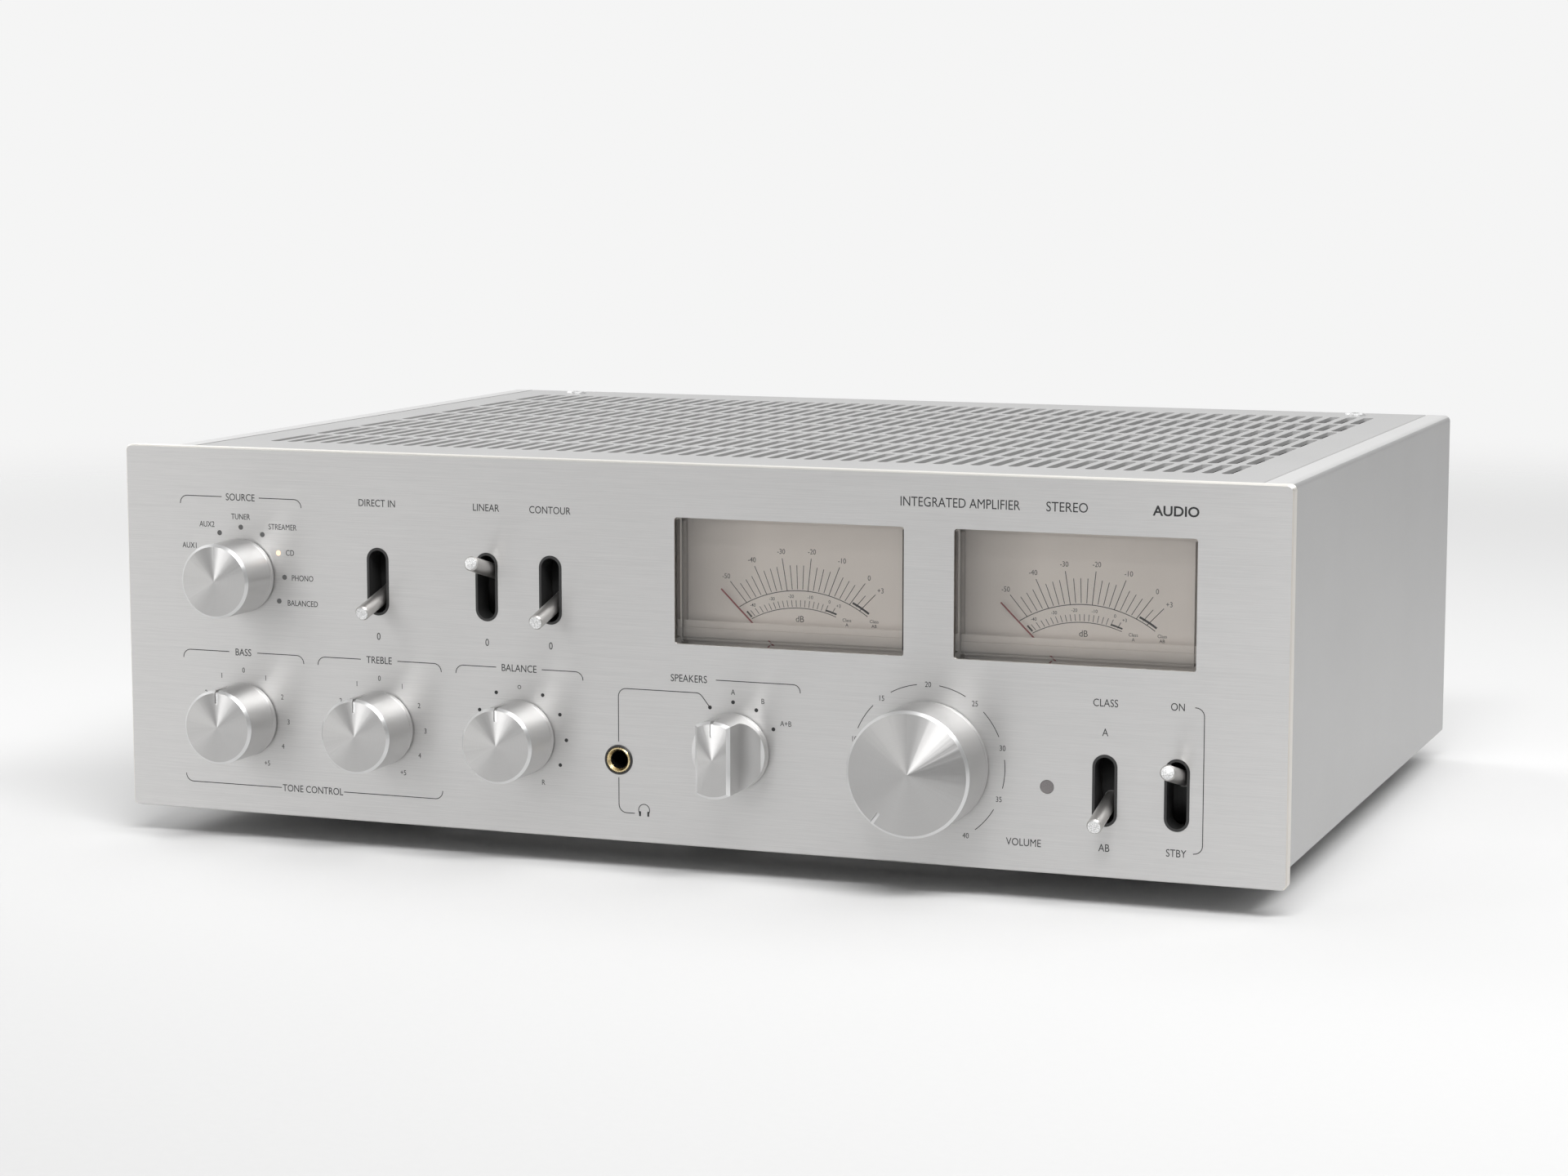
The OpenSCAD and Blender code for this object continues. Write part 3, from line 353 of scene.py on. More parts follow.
def dial_paint():
    """Warm grey card with a faint glow of its own, as painted lamp light, and painted shade towards the
    bottom and the left of each window, where the glow fades too.
    """
    s = Shader("dial_paint")
    speckle = s.noise(s.coords.outputs["Object"], scale=3500.0, detail=2.0)
    cloud = s.noise(s.coords.outputs["Object"], scale=30.0, detail=2.0)
    base = s.tint(s.span(cloud, 0.3, 0.7), (0.69, 0.64, 0.61), (0.74, 0.685, 0.65))
    card = s.tint(s.math("MULTIPLY", s.span(speckle, 0.35, 0.65), 0.1), base, (0.85, 0.8, 0.75))
    place = s.split(s.coords.outputs["Object"])
    foot_shade = s.span(place["Z"], FOOT_Z + DIAL_FOOT * MM, FOOT_Z + DIAL_CLEAR * MM, 0.5, 0.0)
    low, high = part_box("meter_dials")
    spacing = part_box("meter_needle_right")[0].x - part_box("meter_needle_left")[0].x
    second = s.math("GREATER_THAN", place["X"], (low.x + high.x) / 2)
    along = s.math("SUBTRACT", place["X"], s.math("MULTIPLY", second, spacing))
    left = s.span(along, low.x, low.x + DIAL_SHADE * MM, 0.5, 0.0)
    # Painted shade: the card darkens towards the bottom and the left of each window, and its glow, a
    # painted light, fades with it.
    shaded = s.tint(left, s.tint(foot_shade, card, (0.25, 0.225, 0.205)), (0.14, 0.13, 0.125))
    lit = s.math("MULTIPLY", s.math("SUBTRACT", 1.0, foot_shade), s.math("SUBTRACT", 1.0, left))
    s.set(Base_Color=shaded, Emission_Color=(1.0, 0.95, 0.9, 1.0),
          Emission_Strength=s.math("MULTIPLY", lit, 0.135),
          Roughness=s.span(speckle, 0.3, 0.7, 0.55, 0.65), Normal=s.bump(speckle, 0.08, 0.02))
    return s.material


def clear_cover():
    """A clear moulded window: see-through, with a surface reflection that grows towards its edges."""
    s = Shader("clear_cover")
    smear = s.noise(s.coords.outputs["Object"], scale=90.0, detail=3.0)
    fresnel = s.add("ShaderNodeFresnel", {"IOR": 1.45}).outputs[0]
    glossy = s.add("ShaderNodeBsdfGlossy",
                   {"Color": (1, 1, 1, 1), "Roughness": s.span(smear, 0.3, 0.7, 0.04, 0.09)})
    clear = s.add("ShaderNodeBsdfTransparent", {"Color": (0.97, 0.965, 0.955, 1)})
    mix = s.add("ShaderNodeMixShader", {0: fresnel, 1: clear.outputs[0], 2: glossy.outputs[0]})
    s.put(s.output.inputs["Surface"], mix.outputs[0])
    return s.material


def lamp(name, lit_spot):
    """Light guides: all are dull but the one at lit_spot."""
    s = Shader(name)
    spot = (lit_spot[0] * MM, FACE_Y, lit_spot[1] * MM + FOOT_Z)
    lit = s.math("LESS_THAN", s.off_axis(spot), 2.0 * MM)
    grain = s.noise(s.coords.outputs["Object"], scale=1500.0)
    dull = s.tint(grain, grey(0.075), grey(0.1))
    s.set(Base_Color=s.tint(lit, dull, (0.9, 0.62, 0.42)), Roughness=s.span(grain, 0.3, 0.7, 0.4, 0.5),
          Emission_Color=(1.0, 0.72, 0.5, 1.0), Emission_Strength=s.math("MULTIPLY", lit, 0.6))
    return s.material


def circuit_board(name):
    """Green solder mask with copper tracks just showing through."""
    s = Shader(name)
    tracks = s.add("ShaderNodeTexBrick",
                   {"Vector": s.stretch((1, 1, 0)), "Scale": 110.0, "Mortar Size": 0.02,
                    "Color1": (0.012, 0.075, 0.035, 1), "Color2": (0.016, 0.095, 0.045, 1),
                    "Mortar": (0.05, 0.16, 0.07, 1)})
    s.set(Base_Color=tracks.outputs["Color"], Roughness=0.35, Coat_Weight=0.3,
          Normal=s.bump(tracks.outputs["Fac"], 0.3, 0.05))
    return s.material


def wound_tape(name):
    """Overlapping turns of amber tape round a transformer."""
    s = Shader(name)
    turn = s.add("ShaderNodeTexWave", {"Vector": s.stretch((1, 1, 0.2)), "Scale": 55.0, "Distortion": 2.0},
                 bands_direction="DIAGONAL")
    shade = turn.outputs["Fac"]
    s.set(Base_Color=s.tint(shade, (0.30, 0.15, 0.03), (0.52, 0.32, 0.09)), Roughness=0.3,
          Coat_Weight=0.4, Normal=s.bump(shade, 0.4, 0.3))
    return s.material


def ink(name, colour, rough=0.5):
    """Screen-printed ink with slightly uneven cover."""
    s = Shader(name)
    cover = s.noise(s.coords.outputs["Object"], scale=5000.0, detail=2.0)
    s.set(Base_Color=s.tint(cover, colour, tuple(c * 1.35 + 0.004 for c in colour)),
          Roughness=s.span(cover, 0.3, 0.7, rough - 0.05, rough + 0.05))
    return s.material


# ---- Printed shapes ----

LINE = 0.3  # usual width of a printed line


def arc(centre, radius, start, stop, steps=24):
    """Points round a centre from one clock angle to another."""
    return [clock(centre, radius, start + (stop - start) * i / steps) for i in range(steps + 1)]


def rounded(points, radius, steps=6):
    """The polyline with its inner corners turned into arcs of one radius."""
    path = [Vector(points[0])]
    for before, corner, after in zip(points, points[1:], points[2:]):
        corner = Vector(corner)
        back, ahead = (Vector(before) - corner).normalized(), (Vector(after) - corner).normalized()
        half = back.angle(ahead) / 2
        setback = radius / math.tan(half)
        centre = corner + (back + ahead).normalized() * (radius / math.sin(half))
        first, last = corner + back * setback - centre, corner + ahead * setback - centre
        for i in range(steps + 1):
            path.append(centre + first.slerp(last, i / steps).normalized() * radius)
    path.append(Vector(points[-1]))
    return [tuple(p) for p in path]


class Print:
    """Flat printed shapes on a plane in front of the viewer, gathered into one thin closed mesh."""

    def __init__(self, name, depth_mm, thick_mm=0.03, rear=False):
        self.name, self.mesh, self.rear = name, bmesh.new(), rear
        self.base_y = FACE_Y + depth_mm * MM if not rear else REAR_Y
        self.thick = thick_mm * MM

    def point(self, x, z, out):
        """A point in panel coordinates, raised from the plane towards the viewer."""
        if self.rear:
            return Vector((x * MM, self.base_y + out, FOOT_Z + z * MM))
        return Vector((x * MM, self.base_y - out, FOOT_Z + z * MM))

    def prism(self, outline):
        """A thin solid with this outline in panel coordinates."""
        front = [self.mesh.verts.new(self.point(x, z, self.thick)) for x, z in outline]
        back = [self.mesh.verts.new(self.point(x, z, -SUNK_MM * MM)) for x, z in outline]
        self.mesh.faces.new(front)
        self.mesh.faces.new(back[::-1])
        for i in range(len(outline)):
            j = (i + 1) % len(outline)
            self.mesh.faces.new((front[i], front[j], back[j], back[i]))

    def line(self, points, width=LINE):
        """A line of one width through the points."""
        spots = [Vector(p) for p in points]
        left, right = [], []
        for i, spot in enumerate(spots):
            ahead = spots[min(i + 1, len(spots) - 1)] - spots[max(i - 1, 0)]
            side = Vector((-ahead.y, ahead.x)).normalized() * (width / 2)
            left.append(tuple(spot + side))
            right.append(tuple(spot - side))
        self.prism(left + right[::-1])

    def disc(self, centre, radius):
        """A round dot with 24 corners."""
        self.prism(arc(centre, radius, 0, 345, 23))

    def ring(self, centre, radius, width):
        """A circle drawn as two half rings."""
        self.line(arc(centre, radius, 0, 180, 16), width)
        self.line(arc(centre, radius, 180, 360, 16), width)

    def words(self, text, x, z, height, squeeze=0.86, weight=0.0, align="CENTER"):
        """Text whose capitals have this height, centred on z."""
        glyphs = glyph_mesh(text, align, weight)
        size = height / CAPITAL * MM
        turn = -1 if self.rear else 1
        for v in glyphs.vertices:
            v.co = self.point(x + turn * v.co.x * size * squeeze / MM, z - height / 2 + v.co.y * size / MM,
                              self.thick if v.co.z > 0 else -SUNK_MM * MM)
        self.mesh.from_mesh(glyphs)
        bpy.data.meshes.remove(glyphs)

    def finish(self, material, slot="black_plastic"):
        """Makes the shapes one piece that rides on the case."""
        bmesh.ops.recalc_face_normals(self.mesh, faces=self.mesh.faces)
        data = bpy.data.meshes.new(self.name)
        self.mesh.to_mesh(data)
        self.mesh.free()
        data.materials.append(material)
        piece = bpy.data.objects.new(self.name, data)
        bpy.context.scene.collection.objects.link(piece)
        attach(piece, BODY)


def glyph_mesh(text, align, weight):
    """A mesh of the text at size 1, thin along z, in Blender's own font."""
    curve = bpy.data.curves.new("glyphs", "FONT")
    curve.body, curve.align_x, curve.offset = text, align, weight
    curve.extrude, curve.resolution_u = 0.01, 4
    holder = bpy.data.objects.new("glyphs", curve)
    bpy.context.scene.collection.objects.link(holder)
    bpy.context.view_layer.update()
    mesh = bpy.data.meshes.new_from_object(holder.evaluated_get(bpy.context.evaluated_depsgraph_get()))
    bpy.data.objects.remove(holder)
    bpy.data.curves.remove(curve)
    return mesh


def capital_height():
    """The height of a capital letter at text size 1."""
    mesh = glyph_mesh("H", "CENTER", 0.0)
    top = max(v.co.y for v in mesh.vertices)
    bpy.data.meshes.remove(mesh)
    return top


CAPITAL = capital_height()


# ---- Panel legends ----

# Heights of the capitals
MAIN, SMALL, DIGIT, TITLE = 2.6, 2.1, 1.9, 3.3
# A bracket's corner radius and the length of its turned ends
CORNER, LEG = 3.0, 3.1
# Distances of digits and dots from the middles of the knobs
TONE_DIGITS, TONE_DOTS, SPEAKER_DOTS, VOLUME_DIGITS, SOURCE_LIGHTS = 18.8, 18.7, 17.85, 28.4, 18.2
# Heights of the rows of legends
LEVER_ROW, TONE_ROW, LOW_ROW, TITLE_ROW = 120.3, 61.5, 10.6, 128.7


def bracket(page, x0, x1, z, title, title_x, half_gap, leg=-LEG):
    """A line with turned-down ends that names a group of controls."""
    page.line(rounded([(x0, z + leg), (x0, z), (title_x - half_gap, z)], CORNER))
    page.line(rounded([(title_x + half_gap, z), (x1, z), (x1, z + leg)], CORNER))
    page.words(title, title_x, z, MAIN)


def source_legend(page):
    centre = middle("source_knob")
    bracket(page, -201.8, -150.4, 120.4, "SOURCE", centre[0], 7.9)
    names = (("AUX1", -198.0, 101.5), ("AUX2", -190.5, 109.8), ("TUNER", -176.1, 113.1),
             ("STREAMER", -158.4, 109.8), ("CD", -155.4, 100.2), ("PHONO", -150.3, 90.8),
             ("BALANCED", -150.4, 81.3))
    for text, x, z in names:
        page.words(text, x, z, SMALL, squeeze=0.82)


def tone_legend(page):
    for node, title, x0, x1, half_gap in (("bass_knob", "BASS", -201.8, -150.4, 6.0),
                                          ("treble_knob", "TREBLE", -144.4, -93.2, 7.6),
                                          ("balance_knob", "BALANCE", -87.2, -36.0, 9.2)):
        bracket(page, x0, x1, TONE_ROW, title, (x0 + x1) / 2, half_gap)
    for node in ("bass_knob", "treble_knob"):
        centre = middle(node)
        page.words("0", *clock(centre, TONE_DIGITS, 0), DIGIT)
        for step in range(1, 5):
            for side in (-1, 1):
                page.words(str(step), *clock(centre, TONE_DIGITS, side * 30 * step), DIGIT)
        page.words("-5", *clock(centre, TONE_DIGITS, -150), DIGIT)
        page.words("+5", *clock(centre, TONE_DIGITS, 150), DIGIT)
    centre = middle("balance_knob")
    page.ring(clock(centre, TONE_DOTS, 0), 0.62, 0.22)
    for angle in (30, 60, 90, 120):
        for side in (-1, 1):
            page.disc(clock(centre, TONE_DOTS, side * angle), 0.7)
    page.words("L", *clock(centre, TONE_DOTS, -150), DIGIT)
    page.words("R", *clock(centre, TONE_DOTS, 150), DIGIT)
    bracket(page, -201.7, -93.2, LOW_ROW, "TONE CONTROL", -147.5, 13.2, LEG)


def headphone_symbol(page, x, z):
    """A head band with two ear pads."""
    page.line(arc((x, z), 2.15, -128, 128))
    for side in (-1, 1):
        page.line([(x + side * 1.62, z - 2.3), (x + side * 1.62, z - 0.5)], 0.75)


def speaker_legend(page):
    centre = middle("speaker_knob")
    page.words("SPEAKERS", 5.6, 61.4, MAIN)
    page.line(rounded([(16.1, 61.4), (48.4, 61.4), (48.4, 58.4)], CORNER * 0.9))
    for angle in (-30, 0, 30, 60):
        page.disc(clock(centre, SPEAKER_DOTS, angle), 0.72)
    for text, x, z in (("A", 22.7, 57.4), ("B", 34.1, 54.7), ("A+B", 42.9, 47.1)):
        page.words(text, x, z, DIGIT)
    jack_x = middle("jack_collar")[0]
    to_dot = clock(centre, SPEAKER_DOTS, -30)
    page.line(rounded([(jack_x, 36.7), (jack_x, 56.4), (9.8, 56.4), to_dot], CORNER))
    page.line(rounded([(jack_x, 23.5), (jack_x, LOW_ROW), (-15.8, LOW_ROW)], CORNER))
    headphone_symbol(page, -12.1, 12.0)


def volume_legend(page):
    centre = middle("volume_knob")
    step, half_line = 37.5, 10.4
    for i in range(9):
        page.words(str(5 * i), *clock(centre, VOLUME_DIGITS, -150 + step * i), DIGIT)
    for i in range(8):
        mid_angle = -131.25 + step * i
        page.line(arc(centre, VOLUME_DIGITS, mid_angle - half_line, mid_angle + half_line, 12), 0.27)
    page.words("VOLUME", 131.6, 10.4, MAIN)


def lever_legend(page):
    for text, x, z in (("DIRECT IN", -118.8, LEVER_ROW), ("LINEAR", -74.3, LEVER_ROW),
                       ("CONTOUR", -48.7, LEVER_ROW), ("CLASS", 160.6, 61.4), ("A", 160.6, 51.1),
                       ("AB", 160.6, 10.5), ("ON", 186.2, 61.4), ("STBY", 186.2, 10.4)):
        page.words(text, x, z, MAIN)
    for x in (-118.8, -74.3, -48.7):
        page.words("0", x, 70.5, MAIN)
    page.line(rounded([(192.2, TONE_ROW), (195.5, TONE_ROW), (195.5, LOW_ROW), (192.2, LOW_ROW)], CORNER))


def title_legend(page):
    page.words("INTEGRATED AMPLIFIER", 85.4, TITLE_ROW, TITLE, align="LEFT", squeeze=0.84)
    page.words("STEREO", 138.5, TITLE_ROW, TITLE, align="LEFT", squeeze=0.9)
    page.words("AUDIO", 176.5, TITLE_ROW, TITLE, align="LEFT", squeeze=1.05, weight=0.02)


def panel_print():
    page = Print("panel_legend", 0.0)
    for legend in (source_legend, tone_legend, speaker_legend, volume_legend, lever_legend, title_legend):
        legend(page)
    page.finish(ink("panel_ink", (0.011, 0.011, 0.012)))


# ---- Meters ----

DIAL_T = 0.8  # thickness of a dial's card
OUTER_DIGIT, INNER_DIGIT, CLASS_NOTE = DIGIT * 0.95, DIGIT * 0.62, 1.15


def towards(pivot, angle, centre, radius):
    """The point where the ray from the pivot at an angle meets a circle round centre."""
    a = math.radians(angle)
    ray = Vector((math.sin(a), math.cos(a)))
    offset = Vector(pivot) - Vector(centre)
    along = offset.dot(ray)
    reach = -along + math.sqrt(along * along - offset.length_squared + radius * radius)
    return tuple(Vector(pivot) + ray * reach)


def meter_scale(page, pivot):
    """Two decibel scales: the outer one for one class of operation and the inner one for the other."""
    x, z = pivot
    first, decade = -40.2, 15.4
    hub, hub_r = (x + 0.3, z - 14.2), 43.6
    page.line(arc(hub, hub_r, -32.6, 35.6, 48), 0.28)
    for i, label in enumerate(("-50", "-40", "-30", "-20", "-10", "0")):
        angle = first + decade * i
        page.line([towards(pivot, angle, hub, hub_r), clock(pivot, 41.4, angle)], 0.27)
        page.words(label, *clock(pivot, 43.9, angle), OUTER_DIGIT, squeeze=0.9)
        if label != "0":
            for k in range(1, 4):
                short = angle + decade * k / 4
                page.line([towards(pivot, short, hub, hub_r + 0.5), clock(pivot, 38.6, short)], 0.25)
    page.line([towards(pivot, 44.4, hub, hub_r), clock(pivot, 41.0, 44.4)], 0.27)
    page.line([towards(pivot, 40.9, hub, hub_r + 0.5), clock(pivot, 38.0, 40.9)], 0.25)
    page.words("+3", *clock(pivot, 43.4, 44.8), OUTER_DIGIT, squeeze=0.9)
    page.line(arc(hub, hub_r + 1.15, 26.2, 35.4, 12), 0.75)

    first, decade = -37.6, 15.3
    inner, inner_r = (x, z - 15.4), 38.5
    fine = {"squeeze": 0.95, "weight": 0.004}

    def spoke(angle, start, stop, width):
        page.line([towards(pivot, angle, inner, inner_r + r) for r in (start, stop)], width)

    page.line(arc(inner, inner_r, -28.6, 21.0, 40), 0.26)
    for i, label in enumerate(("-40", "-30", "-20", "-10", "0")):
        page.words(label, *towards(pivot, first + decade * i, inner, inner_r + 4.3), INNER_DIGIT, **fine)
    page.words("+3", *towards(pivot, 31.0, inner, inner_r + 4.1), INNER_DIGIT, **fine)
    for i in range(-1, 17):
        spoke(first + decade * i / 4, 0.45, 2.9, 0.22)
    spoke(29.5, 0.45, 2.9, 0.22)
    spoke(-44.0, 0.6, 3.2, 0.6)
    page.line(arc(inner, inner_r + 0.95, 14.4, 20.8, 10), 0.6)
    page.words("dB", x, z + 19.2, 2.2, squeeze=0.95)
    for text, dx in (("A", 17.9), ("AB", 28.2)):
        page.words("Class", x + dx, z + 19.6, CLASS_NOTE, **fine)
        page.words(text, x + dx, z + 17.9, CLASS_NOTE, **fine)


def meter_pieces():
    dial_depth = (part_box("meter_dials")[1].y - FACE_Y) / MM - DIAL_T
    for side in ("left", "right"):
        joint = next(j for j in frame["joints"] if j["child"] == "meter_needle_" + side)
        pivot = (joint["pos_m"][0] / MM, (joint["pos_m"][2] - FOOT_Z) / MM)
        page = Print("meter_scale_" + side, dial_depth, thick_mm=0.02)
        meter_scale(page, pivot)
        page.finish(ink("scale_ink_" + side, (0.014, 0.013, 0.013), rough=0.6), slot="dial_paint")


# ---- Rear legends ----

# Middles of the columns of binding posts, right channel first, and the phono sockets' spacing
POSTS_RIGHT, POSTS_LEFT = -46.5, 79.5
PHONO_START, PHONO_STEP = -196, 18.5


def rear_print():
    page = Print("rear_legend", 0.0, rear=True)
    columns = [PHONO_START + PHONO_STEP * i for i in range(6)]
    for x, text in zip(columns, ("PHONO", "CD", "TUNER", "AUX1", "AUX2", "OUT")):
        page.words(text, x, 114.5, 1.9, squeeze=0.85)
    for text, z in (("L", 104), ("R", 85)):
        page.words(text, columns[-1] + 9.5, z, 2.2)
    page.words("BALANCED", -170, 59.5, 2.1)
    page.words("R", -188, 18.5, 2.2)
    page.words("L", -152, 18.5, 2.2)
    for x, side in ((POSTS_RIGHT, "R"), (POSTS_LEFT, "L")):
        page.words("SPEAKERS", x, 92, 2.3)
        page.words(side, x, 86.5, 2.3)
        for z, pair in ((74, "A"), (38, "B")):
            page.words(pair, x + 22, z, 2.3)
        for dx, sign in ((-9.5, "-"), (9.5, "+")):
            page.words(sign, x + dx, 24.5, 2.6)
            page.words(sign, x + dx, 60.5, 2.6)
    for x in (POSTS_LEFT, POSTS_RIGHT):
        page.line([(x - 26, 95.5), (x + 26, 95.5)], 0.25)
    page.words("MAINS", 182, 87.5, 2.3)
    page.words("GND", -112, 71, 1.9)
    page.finish(ink("rear_ink", (0.62, 0.62, 0.6)))


# ---- Dressing the CAD nodes ----

def dress(material, *nodes):
    """Gives CAD nodes one material."""
    for name in nodes:
        data = frame["nodes"][name].data
        data.materials.clear()
        data.materials.append(material)


def dress_nodes():
    dress(brushed_panel(), "front_panel")
    # The cover's slot walls are painted darker than its top, as painted shade; the side panels' upright
    # faces are painted darker and their flanges lighter.
    dress(satin_case("satin_cover_shaded_slots", SHADED_SLOT_LEVEL, COVER_LEVEL, 0.1), "top_cover")
    dress(satin_case("satin_side_lit_and_shaded", SHADED_SIDE_LEVEL, LIT_FLANGE_LEVEL, 0.85), "side_panel_left", "side_panel_right")
    small_front, large_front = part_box("bass_knob")[0].y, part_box("volume_knob")[0].y
    dress(turned_metal("turned_small", KNOB_LEVEL, 30.0, small_front, -0.26),
          "source_knob", "bass_knob", "treble_knob", "balance_knob", "speaker_knob")
    # The volume knob is painted darker than the small knobs of the same metal, as painted shade.
    dress(turned_metal("turned_large_shaded", SHADED_VOLUME_LEVEL, 48.0, large_front, 0.09), "volume_knob")
    for name in LEVERS:
        dress(lever_metal(name), name)
    dress(bright_metal("bright_steel", 0.9), "case_screws")
    dress(moulded("bezel_black", grey(0.022), rough=0.4), "lever_bezels", "jack_collar")
    dress(moulded("switch_black", grey(0.012)), "toggle_switches")
    dress(gold("jack_gold", middle("jack_collar"), 3.3), "headphone_jack")
    dress(gold("socket_gold"), "rca_sockets", "speaker_posts", "ground_screw")
    dress(moulded("receiver_lens", (0.13, 0.12, 0.12), rough=0.25, strength=0.03, coat=0.5),
          "remote_receiver")
    dress(lamp("light_guides", clock(middle("source_knob"), SOURCE_LIGHTS, 60)), "source_lights")
    dress(dial_paint(), "meter_dials")
    dress(clear_cover(), "meter_covers")
    dress(moulded("meter_grey", (0.34, 0.31, 0.29), rough=0.55), "meter_housings")
    dress(moulded("needle_red", (0.27, 0.022, 0.03), rough=0.35, strength=0.02),
          "meter_needle_left", "meter_needle_right")
    dress(moulded("sheet_black", grey(0.03), rough=0.5, grain_mm=0.4, strength=0.35), "rear_panel")
    dress(plated_sheet("plated"), "front_subframe", "base_plate", "transformer_clamps", "meter_movements")
    dress(moulded("foot_black", grey(0.03), rough=0.5), "feet")
    dress(moulded("pad_rubber", grey(0.02), rough=0.8, strength=0.4), "foot_pads")
    dress(moulded("socket_black", grey(0.02), rough=0.35), "xlr_sockets", "mains_inlet", "mains_rocker")
    dress(moulded("cap_black", grey(0.02), rough=0.25, coat=0.4),
          *[f"speaker_cap_{i}" for i in (1, 3, 5, 7)])
    dress(moulded("cap_red", (0.36, 0.015, 0.015), rough=0.25, coat=0.4),
          *[f"speaker_cap_{i}" for i in (2, 4, 6, 8)])
    dress(moulded("component", (0.03, 0.035, 0.04)), "source_encoder", "tone_potentiometers",
          "speaker_selector", "volume_potentiometer", "output_transistors")
    dress(circuit_board("solder_mask"), "control_boards", "power_boards", "preamp_board")
    dress(wound_tape("amber_tape"), "transformers")
    dress(moulded("capacitor_sleeve", (0.02, 0.03, 0.06), rough=0.25, coat=0.5), "filter_capacitors")
    dress(moulded("black_anodised", grey(0.03), rough=0.35, strength=0.1), "heatsinks")
    dress(moulded("insulation", (0.13, 0.02, 0.02), rough=0.5), "wiring_looms")


# ---- Stage, light and camera ----

# Strength of the surround: as the camera sees it, and as it lights the object from each side
BACKGROUND = 0.913
FRONT_LEFT, FRONT_RIGHT, RIGHT, OVERHEAD = 0.92, 0.31, 0.28, 0.35
FLOOR_HALF, FADE_START, FADE_END = 4.0, 0.8, 1.9


def floor():
    """A pale floor, painted darker in front and lighter behind as painted light, that fades into the
    background away from the amplifier.
    """
    mesh = bpy.data.meshes.new("floor")
    corners = [(x * FLOOR_HALF, y * FLOOR_HALF, 0) for x, y in ((-1, -1), (1, -1), (1, 1), (-1, 1))]
    mesh.from_pydata(corners, [], [(0, 1, 2, 3)])
    s = Shader("floor")
    distance = s.vector("LENGTH", s.coords.outputs["Object"])
    fade = s.add("ShaderNodeMapRange", {0: distance, 1: FADE_START, 2: FADE_END},
                 interpolation_type="SMOOTHERSTEP")
    grain = s.noise(s.coords.outputs["Object"], scale=300.0)
    depth = s.split(s.coords.outputs["Object"])["Y"]
    near = s.tint(grain, grey(0.48), grey(0.5))
    # Painted light: the floor's colour runs from darker in front to lighter behind the amplifier.
    painted_light_floor_tone = s.tint(s.span(depth, -0.65, 0.0), near, grey(0.72))
    diffuse = s.add("ShaderNodeBsdfDiffuse", {"Color": painted_light_floor_tone})
    clear = s.add("ShaderNodeBsdfTransparent")
    mix = s.add("ShaderNodeMixShader", {0: fade.outputs[0], 1: diffuse.outputs[0], 2: clear.outputs[0]})
    s.put(s.output.inputs["Surface"], mix.outputs[0])
    mesh.materials.append(s.material)
    obj = bpy.data.objects.new("floor", mesh)
    bpy.context.scene.collection.objects.link(obj)


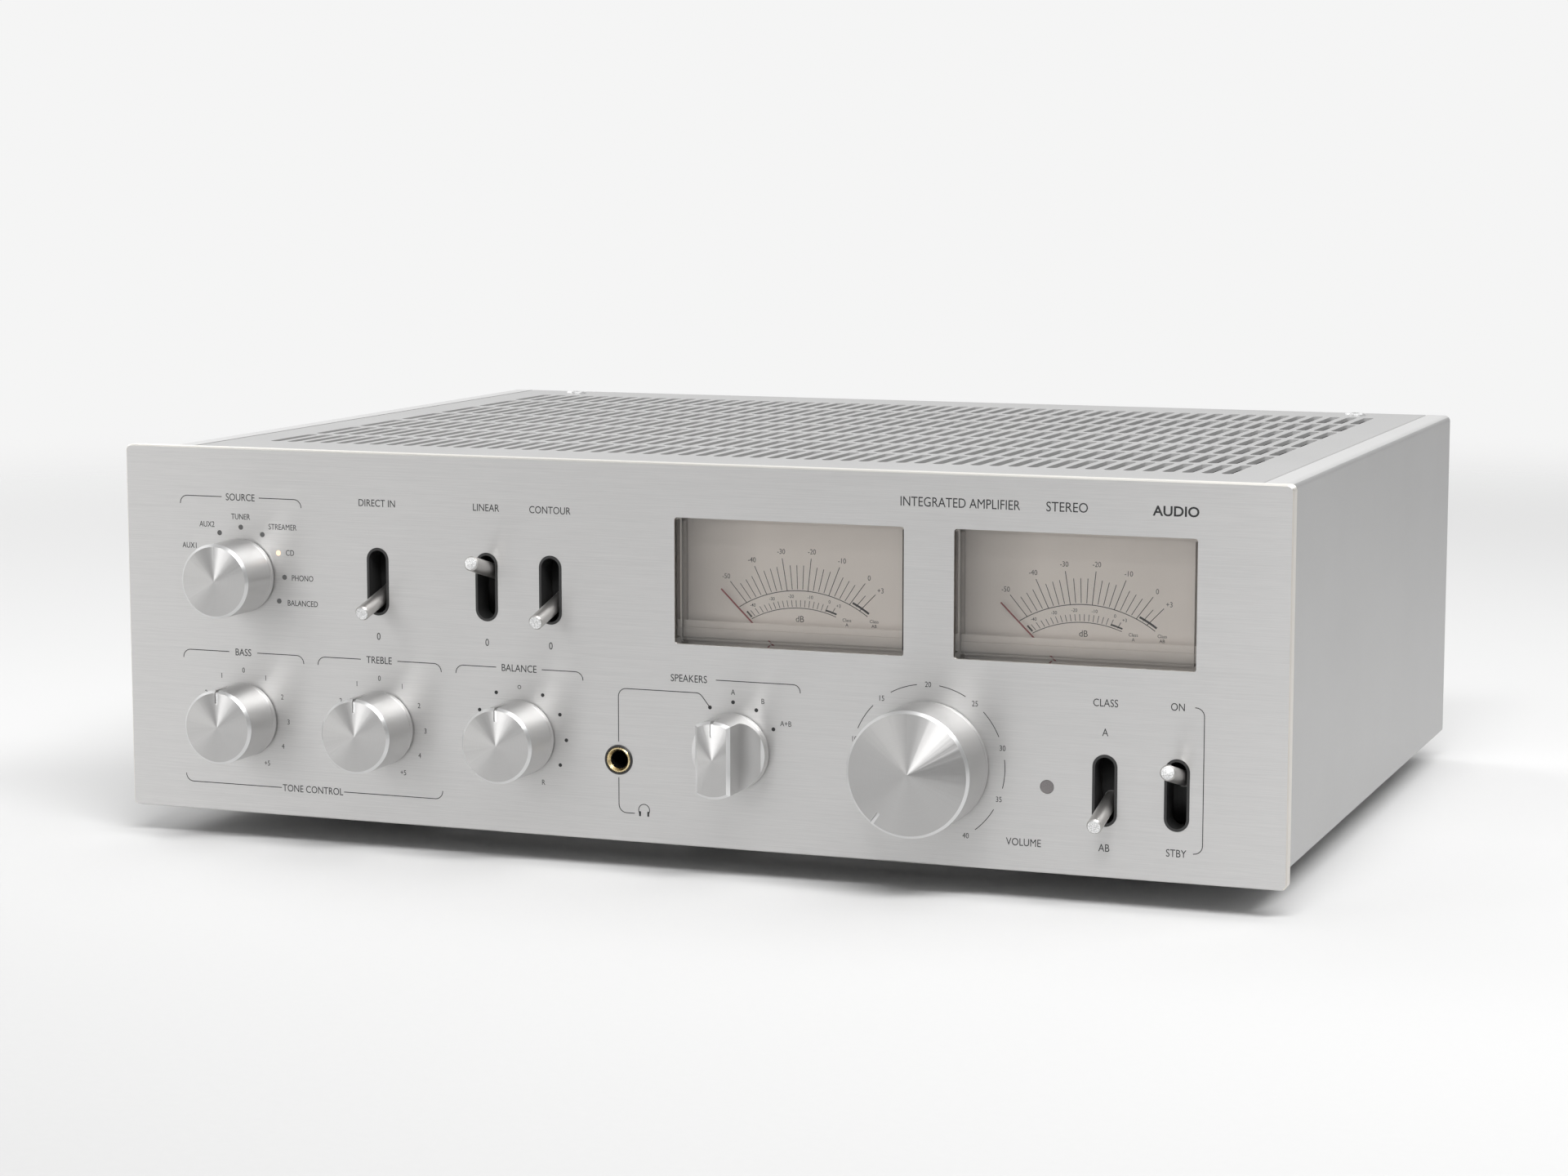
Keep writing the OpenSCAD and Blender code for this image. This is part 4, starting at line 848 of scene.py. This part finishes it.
def world():
    """A pale surround. It looks even, and it lights the object as a studio does, less from the right."""
    scene_world = bpy.data.worlds.new("studio")
    scene_world.use_nodes = True
    tree = scene_world.node_tree
    coords = tree.nodes.new("ShaderNodeTexCoord")
    split = tree.nodes.new("ShaderNodeSeparateXYZ")
    tree.links.new(coords.outputs["Generated"], split.inputs[0])

    def ramp(source, low, high, at_low, at_high):
        node = tree.nodes.new("ShaderNodeMapRange")
        node.interpolation_type = "SMOOTHSTEP"
        tree.links.new(source, node.inputs[0])
        for socket, value in zip(node.inputs[1:5], (low, high, at_low, at_high)):
            if isinstance(value, bpy.types.NodeSocket):
                tree.links.new(value, socket)
            else:
                socket.default_value = value
        return node.outputs[0]

    front = ramp(split.outputs["X"], -0.47, -0.16, FRONT_LEFT, FRONT_RIGHT)
    back = ramp(split.outputs["X"], -0.02, 0.55, BACKGROUND, RIGHT)
    level = ramp(split.outputs["Y"], -0.3, 0.25, front, back)
    around = ramp(split.outputs["Z"], 0.4, 0.85, level, OVERHEAD)
    seen = tree.nodes.new("ShaderNodeLightPath").outputs["Is Camera Ray"]
    strength = ramp(seen, 0.0, 1.0, around, BACKGROUND)
    tree.links.new(strength, tree.nodes["Background"].inputs["Strength"])
    tree.nodes["Background"].inputs["Color"].default_value = (1, 1, 0.998, 1)
    bpy.context.scene.world = scene_world


def softbox(name, place, aim, width, height, watts, colour=(1, 1, 1)):
    """A rectangular area light at a place, aimed at a point."""
    light = bpy.data.lights.new(name, "AREA")
    light.shape, light.size, light.size_y = "RECTANGLE", width, height
    light.energy, light.color = watts, colour
    obj = bpy.data.objects.new(name, light)
    obj.location = place
    obj.rotation_euler = (Vector(aim) - Vector(place)).to_track_quat("-Z", "Y").to_euler()
    bpy.context.scene.collection.objects.link(obj)


def lights():
    softbox("overhead", (0.1, 0.5, 2.3), (0, 0.2, 0), 2.8, 1.8, 10)
    softbox("wedge", (0.8, -1.35, 1.75), (0, -0.15, 0.08), 2.0, 0.45, 54)
    softbox("fill_right", (1.8, 0.9, 1.6), (0.6, 0.2, 0), 1.2, 1.2, 7)
    softbox("fill_left", (-1.8, 0.7, 1.6), (-0.6, 0.0, 0), 1.2, 1.2, 12)
    softbox("left", (-1.7, -1.6, 1.0), (-0.1, -0.15, 0.08), 0.9, 1.4, 4, (1, 0.985, 0.96))


def camera():
    """The viewpoint, worked out in panel coordinates from the panel's front face."""
    data = bpy.data.cameras.new("camera")
    data.sensor_width, data.lens = 36.0, 80.39
    data.clip_start, data.clip_end = 0.05, 60.0
    obj = bpy.data.objects.new("camera", data)
    obj.location = (474.0 * MM, FACE_Y - 1155.5 * MM, FOOT_Z + 256.4 * MM)
    obj.rotation_euler = (math.radians(90 - 7.41), 0, math.radians(20.49))
    bpy.context.scene.collection.objects.link(obj)
    bpy.context.scene.camera = obj


dress_nodes()
panel_print()
meter_pieces()
rear_print()
floor()
world()
lights()
camera()
bpy.context.scene.view_settings.view_transform = "Standard"
